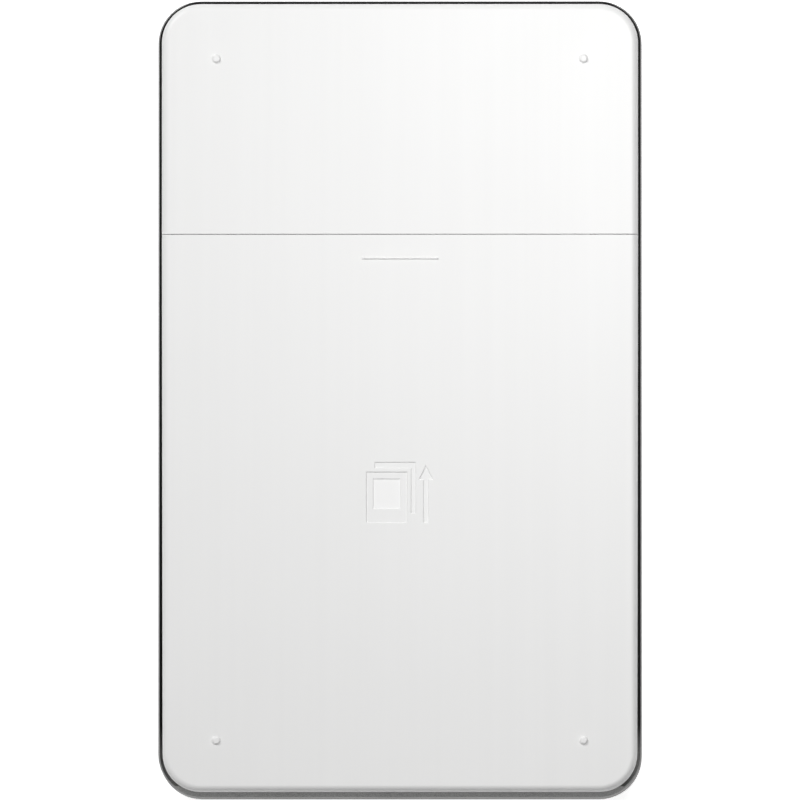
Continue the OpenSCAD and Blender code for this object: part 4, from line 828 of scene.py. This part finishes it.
# %% Pips
PIP_R = 0.6 * MM
PIP_SPREAD = 1.2
PIP_LIMIT = 1.05
PIP_FLANK = 0.42
PIP_CROWN = 0.3 * MM
BIG_FACE = (10 * MM) ** 2
SAME_PLACE = 1e-6


def face_height(shape):
    return max(f.calc_center_median().z for f in shape.faces if f.calc_area() > BIG_FACE)


def fill_pips(shape):
    face_z = face_height(shape)
    top_z = max(v.co.z for v in shape.verts)
    moved = 0
    for side in (-1, 1):
        crown = [v.co for v in shape.verts if v.co.z > face_z + PIP_CROWN and side * v.co.x > 0.0]
        centre = sum(crown, Vector()) / len(crown)
        for vertex in shape.verts:
            off = vertex.co - centre
            share = off.xy.length / PIP_R
            if share > PIP_LIMIT or vertex.co.z < face_z - SAME_PLACE:
                continue
            vertex.co.x = centre.x + off.x * PIP_SPREAD
            vertex.co.y = centre.y + off.y * PIP_SPREAD
            moved += 1
            if vertex.co.z > face_z + SAME_PLACE:
                rise = min(1.0, (1.0 - share) / PIP_FLANK)
                vertex.co.z = face_z + (top_z - face_z) * rise
    return moved


print("pips", round(2 * PIP_R * PIP_SPREAD / MM, 2), "mm across")

# %% [markdown]
# ### The seam
# Where the cover meets the head panel, both mouldings have a softly broken edge. Without
# it the seam would be one hard black line; with it the edges take some light. Only the
# edges round the two seam faces are bevelled, picked by the direction their faces look.
# Each face first moves a hair towards the other, because the bevel opens the gap.

# %% Broken edges at the seam
EDGE_BREAK = 0.05 * MM
SEAM_CLOSED = 0.03 * MM
FACES_ALONG = 0.99


def break_seam_edge(shape, seam_y):
    shape.faces.ensure_lookup_table()
    seam_faces = {f for f in shape.faces if abs(f.normal.y) > FACES_ALONG
                  and all(abs(v.co.y - seam_y) < SAME_PLACE for v in f.verts)}
    border = [e for e in shape.edges if sum(f in seam_faces for f in e.link_faces) == 1]
    towards = math.copysign(SEAM_CLOSED, sum(f.normal.y for f in seam_faces))
    for vertex in {v for f in seam_faces for v in f.verts}:
        vertex.co.y += towards
    bmesh.ops.bevel(shape, geom=border, offset=EDGE_BREAK, segments=2, profile=0.5,
                    affect="EDGES", clamp_overlap=False)
    return len(border)


print("edge breaks of", EDGE_BREAK / MM, "mm")

# %% The head panel
head_shape = welded("head_panel")
draw_in(head_shape, panel_half[0], panel_half[1])
print("points of the pips:", fill_pips(head_shape))
print("edges broken:", break_seam_edge(head_shape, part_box("head_panel")[0][1]))
settle(new_object("head_panel_shell", head_shape), "case", "white_shell", "head_panel")

# %% [markdown]
# ### The thumb ridge
# The thumb ridge is a thin wedge. It rises slowly from the seam's side to a sharp edge, and
# its other flank is short and steep, so from above it is one fine dark line. In the
# construction model it is a plain bar, so its top points are given new heights, from the
# foot to the sharp edge, and the edge is set back towards the seam a little. The cover is
# then finished in the same way as the head panel.

# %% Thumb ridge
RIDGE_FOOT = 0.03 * MM
RIDGE_EDGE = 0.22 * MM
RIDGE_LEAN = 0.15 * MM
RIDGE_WITHIN = 8 * MM
CREST_ABOVE = 0.2 * MM


def shape_ridge(shape, face_z):
    crest = [v for v in shape.verts if abs(v.co.x) < RIDGE_WITHIN
             and v.co.y > 0 and v.co.z > face_z + CREST_ABOVE]
    low_y, high_y = (pick(v.co.y for v in crest) for pick in (min, max))
    for vertex in crest:
        share = (high_y - vertex.co.y) / (high_y - low_y)
        vertex.co.z = face_z + RIDGE_FOOT + share * (RIDGE_EDGE - RIDGE_FOOT)
        vertex.co.y += share * RIDGE_LEAN
    return len(crest)


print("ridge", RIDGE_EDGE / MM, "mm high")

# %% The cover
cover_shape = welded("paper_cover")
face_z = face_height(cover_shape)
print("points of the pips:", fill_pips(cover_shape))
print("points of the ridge:", shape_ridge(cover_shape, face_z))
draw_in(cover_shape, panel_half[0], panel_half[1])
print("edges broken:", break_seam_edge(cover_shape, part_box("paper_cover")[1][1]))
cover = new_object("paper_cover_shell", cover_shape)

# %% [markdown]
# ## The sunk sign
# A sign on the cover tells where the sheets go. This one is a plain stack of two sheets
# with an arrow towards the rollers. It is pressed into the plastic a sixth of a
# millimetre deep, and the picture on the front sheet nearly twice as deep. Its walls slope,
# so the upper walls are in shade and the lower ones catch the light. Each form is a closed
# solid with leaning sides, and a Boolean modifier takes it out of the cover.

# %% Outlines of the sign
SIGN_AT = Vector((0.0, -14.5)) * MM
# Corners, in millimetres from the middle of the sign
FRONT_SHEET = [(-5.2, -4.7), (1.2, -4.7), (1.2, 3.2), (-5.2, 3.2)]
BACK_SHEET = [(-3.9, 3.65), (1.65, 3.65), (1.65, -3.3), (2.5, -3.3), (2.5, 4.7), (-3.9, 4.7)]
PICTURE = [(-4.3, -2.7), (0.3, -2.7), (0.3, 2.3), (-4.3, 2.3)]
ARROW = [(3.55, -4.7), (4.45, -4.7), (4.45, 1.9), (5.2, 1.9), (4.0, 4.3), (2.8, 1.9), (3.55, 1.9)]
print("sign of", sum(map(len, (FRONT_SHEET, BACK_SHEET, PICTURE, ARROW))), "corners")

# %% [markdown]
# ### Solids with leaning sides
# An outline grows by the same amount on all sides when each corner moves along its mitre.
# A ring that has shrunk by its depth lies at the bottom, and one that has grown by its
# height lies above the face, so the sides between them lean at 45 degrees. Depths are in
# millimetres, as the outlines are.

# %% Solids with leaning sides
ABOVE = 0.25


def grown(outline, by):
    points = [Vector(p) for p in outline]
    result = []
    for i, point in enumerate(points):
        before = (point - points[i - 1]).normalized()
        after = (points[(i + 1) % len(points)] - point).normalized()
        out_before = Vector((before.y, -before.x))
        out_after = Vector((after.y, -after.x))
        mitre = (out_before + out_after) / (1.0 + out_before.dot(out_after))
        result.append(point + mitre * by)
    return result


def add_sunk_form(shape, outline, depth, face_z):
    rings = []
    for level in (-depth, ABOVE):
        z = face_z + level * MM
        rings.append([shape.verts.new((SIGN_AT.x + p.x * MM, SIGN_AT.y + p.y * MM, z))
                      for p in grown(outline, level)])
    low, high = rings
    shape.faces.new(low[::-1])
    shape.faces.new(high)
    for i in range(len(low)):
        j = (i + 1) % len(low)
        shape.faces.new((low[i], low[j], high[j], high[i]))


print("tools reach", ABOVE, "mm above the face")

# %% The sign is cut
SHEET_DEPTH = 0.15
PICTURE_DEPTH = 0.3
ARROW_DEPTH = 0.17


def cut(target, forms, face_z):
    shape = bmesh.new()
    for outline, depth in forms:
        add_sunk_form(shape, outline, depth, face_z)
    tool = new_object("sign_tool", shape)
    knife = target.modifiers.new("sign", "BOOLEAN")
    knife.solver = "EXACT"
    knife.object = tool
    bpy.context.view_layer.update()
    seen = target.evaluated_get(bpy.context.evaluated_depsgraph_get())
    target.data = bpy.data.meshes.new_from_object(seen)
    target.modifiers.clear()
    bpy.data.objects.remove(tool)


cut(cover, [(FRONT_SHEET, SHEET_DEPTH), (BACK_SHEET, SHEET_DEPTH), (ARROW, ARROW_DEPTH)], face_z)
cut(cover, [(PICTURE, PICTURE_DEPTH)], face_z)
settle(cover, "cover", "white_shell", "paper_cover")
print("sign at", round(face_z / MM, 2), "mm")

# %% [markdown]
# ### The polished picture and its painted sheen
# The mould is polished where the picture of the sign is, so its floor is smoother than the
# brushed face. Its colour is also made paler, a painted sheen for the light that the
# polished floor gives back. A mask lets both in only near the sign and only in a thin layer
# of height round the pocket's floor, so neither the face above it nor the cover's underside
# changes.

# %% Polished picture
SIGN_HALF = 5.4 * MM
POCKET_Z = face_z - (SHEET_DEPTH + PICTURE_DEPTH) / 2 * MM
POCKET_SPAN = 0.2 * MM
# Paler white for the pocket's floor: a painted sheen.
PAINTED_SHEEN_WHITE = (0.985, 0.985, 0.98, 1.0)
POLISHED_ROUGH = 0.22

web = finishes["white_shell"].node_tree
shader = web.nodes["Principled BSDF"]
where = add(web, "TexCoord").outputs["Object"]
from_sign = calc_vector(web, "SUBTRACT", where, (SIGN_AT.x, SIGN_AT.y, 0.0))
off = add(web, "SeparateXYZ", {0: calc_vector(web, "ABSOLUTE", from_sign)}).outputs
near = calc(web, "LESS_THAN", calc(web, "MAXIMUM", off["X"], off["Y"]), SIGN_HALF)
layer_of_floor = {0: off["Z"], 1: POCKET_Z - POCKET_SPAN, 2: POCKET_SPAN}
deep = add(web, "Math", layer_of_floor, operation="COMPARE").outputs[0]
polish_and_painted_sheen = calc(web, "MULTIPLY", near, deep)

usual_colour, usual_rough = (shader.inputs[name].links[0].from_socket
                             for name in ("Base Color", "Roughness"))
# The paler colour is painted sheen; the lower roughness below is the real polish.
paler_painted_sheen = mix_colours(web, polish_and_painted_sheen, usual_colour, PAINTED_SHEEN_WHITE)
smoother = add(web, "Mix", {0: polish_and_painted_sheen, 2: usual_rough, 3: POLISHED_ROUGH}, data_type="FLOAT")
web.links.new(paler_painted_sheen, shader.inputs["Base Color"])
web.links.new(smoother.outputs[0], shader.inputs["Roughness"])
print("polished between", round((POCKET_Z - 2 * POCKET_SPAN) / MM, 2), "and",
      round(POCKET_Z / MM, 2), "mm")

# %% [markdown]
# ## Springs of the print head
# Two small coil springs press the print head on the platen. In the construction model
# each is a stack of rings; here each is one wire that winds up in a helix, with its first
# and last half turns flat so that it stands square.

# %% A wire along a path
def add_wire(shape, path, radius, sides):
    rings = []
    for i, point in enumerate(path):
        ahead = (path[min(i + 1, len(path) - 1)] - path[max(i - 1, 0)]).normalized()
        side = ahead.cross(Vector((0, 0, 1))).normalized()
        up = side.cross(ahead)
        turn = [2 * math.pi * k / sides for k in range(sides)]
        around = [math.cos(a) * side + math.sin(a) * up for a in turn]
        rings.append([shape.verts.new(point + radius * out) for out in around])
    for near, far in zip(rings, rings[1:]):
        for k in range(sides):
            n = (k + 1) % sides
            shape.faces.new((near[k], near[n], far[n], far[k]))
    shape.faces.new(rings[0][::-1])
    shape.faces.new(rings[-1])


print("helper for wires: add_wire")

# %% Coil springs
SPRING_D = 2.4 * MM
SPRING_WIRE = 0.36 * MM
SPRING_TURNS = 4
STEPS_PER_TURN = 28
WIRE_SIDES = 8


def helix(middle, low, high):
    path = []
    count = SPRING_TURNS * STEPS_PER_TURN
    radius = (SPRING_D - SPRING_WIRE) / 2
    for i in range(count + 1):
        turn = i / STEPS_PER_TURN
        share = min(1.0, max(0.0, (turn - 0.5) / (SPRING_TURNS - 1)))
        angle = 2 * math.pi * turn
        x = middle.x + radius * math.cos(angle)
        y = middle.y + radius * math.sin(angle)
        path.append(Vector((x, y, low + (high - low) * share)))
    return path


low, high = (Vector(v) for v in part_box("head_springs"))
spring_shape = bmesh.new()
for side in (-1, 1):
    middle = Vector((side * (high.x - SPRING_D / 2), (low.y + high.y) / 2, 0.0))
    add_wire(spring_shape, helix(middle, low.z + SPRING_WIRE / 2, high.z - SPRING_WIRE / 2),
             SPRING_WIRE / 2, WIRE_SIDES)
bmesh.ops.recalc_face_normals(spring_shape, faces=spring_shape.faces)
coils = new_object("head_coil_springs", spring_shape)
settle(coils, "case", "spring_steel", "head_springs")
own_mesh(coils)

# %% [markdown]
# ## The felt strip
# The strip under the pressure pad is cut from felt, so its edges are rounded and its face
# is never quite flat. A fine grid makes its lower face: it is bent up at the borders and
# raised a few hundredths of a millimetre by a smooth noise, which comes out the same on
# every run. Its rim is copied at the height of the top, walls join the two rims, and one
# wide face closes the top.

# %% Felt strip
FELT_STEP = 0.2 * MM
FELT_ROUND = 0.25 * MM
FELT_LUMP = 0.03 * MM
LUMP_PITCH = 0.8 * MM

low, high = (Vector(v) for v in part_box("pad_felt"))
size = high - low
columns, rows = round(size.x / FELT_STEP), round(size.y / FELT_STEP)
felt_shape = bmesh.new()
grid = []
for row in range(rows + 1):
    line = []
    for column in range(columns + 1):
        x, y = size.x * column / columns, size.y * row / rows
        inset = min(x, y, size.x - x, size.y - y, FELT_ROUND)
        bend = FELT_ROUND - math.sqrt(max(0.0, FELT_ROUND ** 2 - (FELT_ROUND - inset) ** 2))
        lump = FELT_LUMP * (1 + noise.noise(Vector((x, y, 0.0)) / LUMP_PITCH)) / 2
        line.append(felt_shape.verts.new((low.x + x, low.y + y, low.z + bend + lump)))
    grid.append(line)
for row in range(rows):
    for column in range(columns):
        felt_shape.faces.new((grid[row][column], grid[row + 1][column],
                              grid[row + 1][column + 1], grid[row][column + 1]))

rim = grid[0][:-1] + [line[-1] for line in grid[:-1]]
rim += grid[-1][:0:-1] + [line[0] for line in grid[:0:-1]]
top = [felt_shape.verts.new((v.co.x, v.co.y, high.z)) for v in rim]
for i in range(len(rim)):
    j = (i + 1) % len(rim)
    felt_shape.faces.new((rim[i], rim[j], top[j], top[i]))
felt_shape.faces.new(top)
bmesh.ops.recalc_face_normals(felt_shape, faces=felt_shape.faces)
settle(new_object("pad_felt_strip", felt_shape), "pad", "felt", "pad_felt")

# %% [markdown]
# ## The leaf spring
# A strip of spring steel under the cover's bracket presses the pad on the sheets. A real
# one is bent in smooth curves and ends in a small turned-up foot that slides on the pad.
# The strip follows a smooth curve through a few chosen points, and gets narrower towards
# its foot.

# %% Curve of the leaf spring
LEAF_THICKNESS = 0.25 * MM
LEAF_STEPS = 14

low, high = (Vector(v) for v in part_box("pad_spring"))
root_z = high.z - LEAF_THICKNESS / 2
tip_z = low.z + LEAF_THICKNESS / 2
# Share of the leaf's length, and height
stations = [
    (0.0, root_z),
    (0.17, root_z),
    (0.3, root_z - 0.9 * MM),
    (0.62, (root_z + tip_z) / 2 - 0.7 * MM),
    (0.9, tip_z + 0.1 * MM),
    (0.955, tip_z),
    (1.0, tip_z + 0.55 * MM),
]
knots = [Vector((low.y + share * (high.y - low.y), z)) for share, z in stations]


def smooth_path(knots, steps):
    path = []
    for i in range(len(knots) - 1):
        before, start, stop = knots[max(i - 1, 0)], knots[i], knots[i + 1]
        after = knots[min(i + 2, len(knots) - 1)]
        for step in range(steps):
            t = step / steps
            path.append(0.5 * (2 * start + (stop - before) * t
                               + (2 * before - 5 * start + 4 * stop - after) * t ** 2
                               + (3 * start - before - 3 * stop + after) * t ** 3))
    return path + [knots[-1]]


path = smooth_path(knots, LEAF_STEPS)
print("leaf follows", len(path), "points")

# %% Leaf spring
TAPER_FROM = 0.7
TAPER_BY = 0.25

leaf_shape = bmesh.new()
loops = []
for i, point in enumerate(path):
    ahead = (path[min(i + 1, len(path) - 1)] - path[max(i - 1, 0)]).normalized()
    out = Vector((-ahead.y, ahead.x)) * LEAF_THICKNESS / 2
    taper = max(0.0, i / len(path) - TAPER_FROM) / (1.0 - TAPER_FROM)
    half = high.x * (1.0 - TAPER_BY * taper)
    corners = [(-half, point - out), (half, point - out), (half, point + out), (-half, point + out)]
    loops.append([leaf_shape.verts.new((x, p.x, p.y)) for x, p in corners])
for near, far in zip(loops, loops[1:]):
    for k in range(4):
        n = (k + 1) % 4
        leaf_shape.faces.new((near[k], near[n], far[n], far[k]))
leaf_shape.faces.new(loops[0][::-1])
leaf_shape.faces.new(loops[-1])
bmesh.ops.recalc_face_normals(leaf_shape, faces=leaf_shape.faces)
leaf = new_object("pad_leaf_spring", leaf_shape)
settle(leaf, "bracket", "spring_steel", "pad_spring")
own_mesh(leaf)
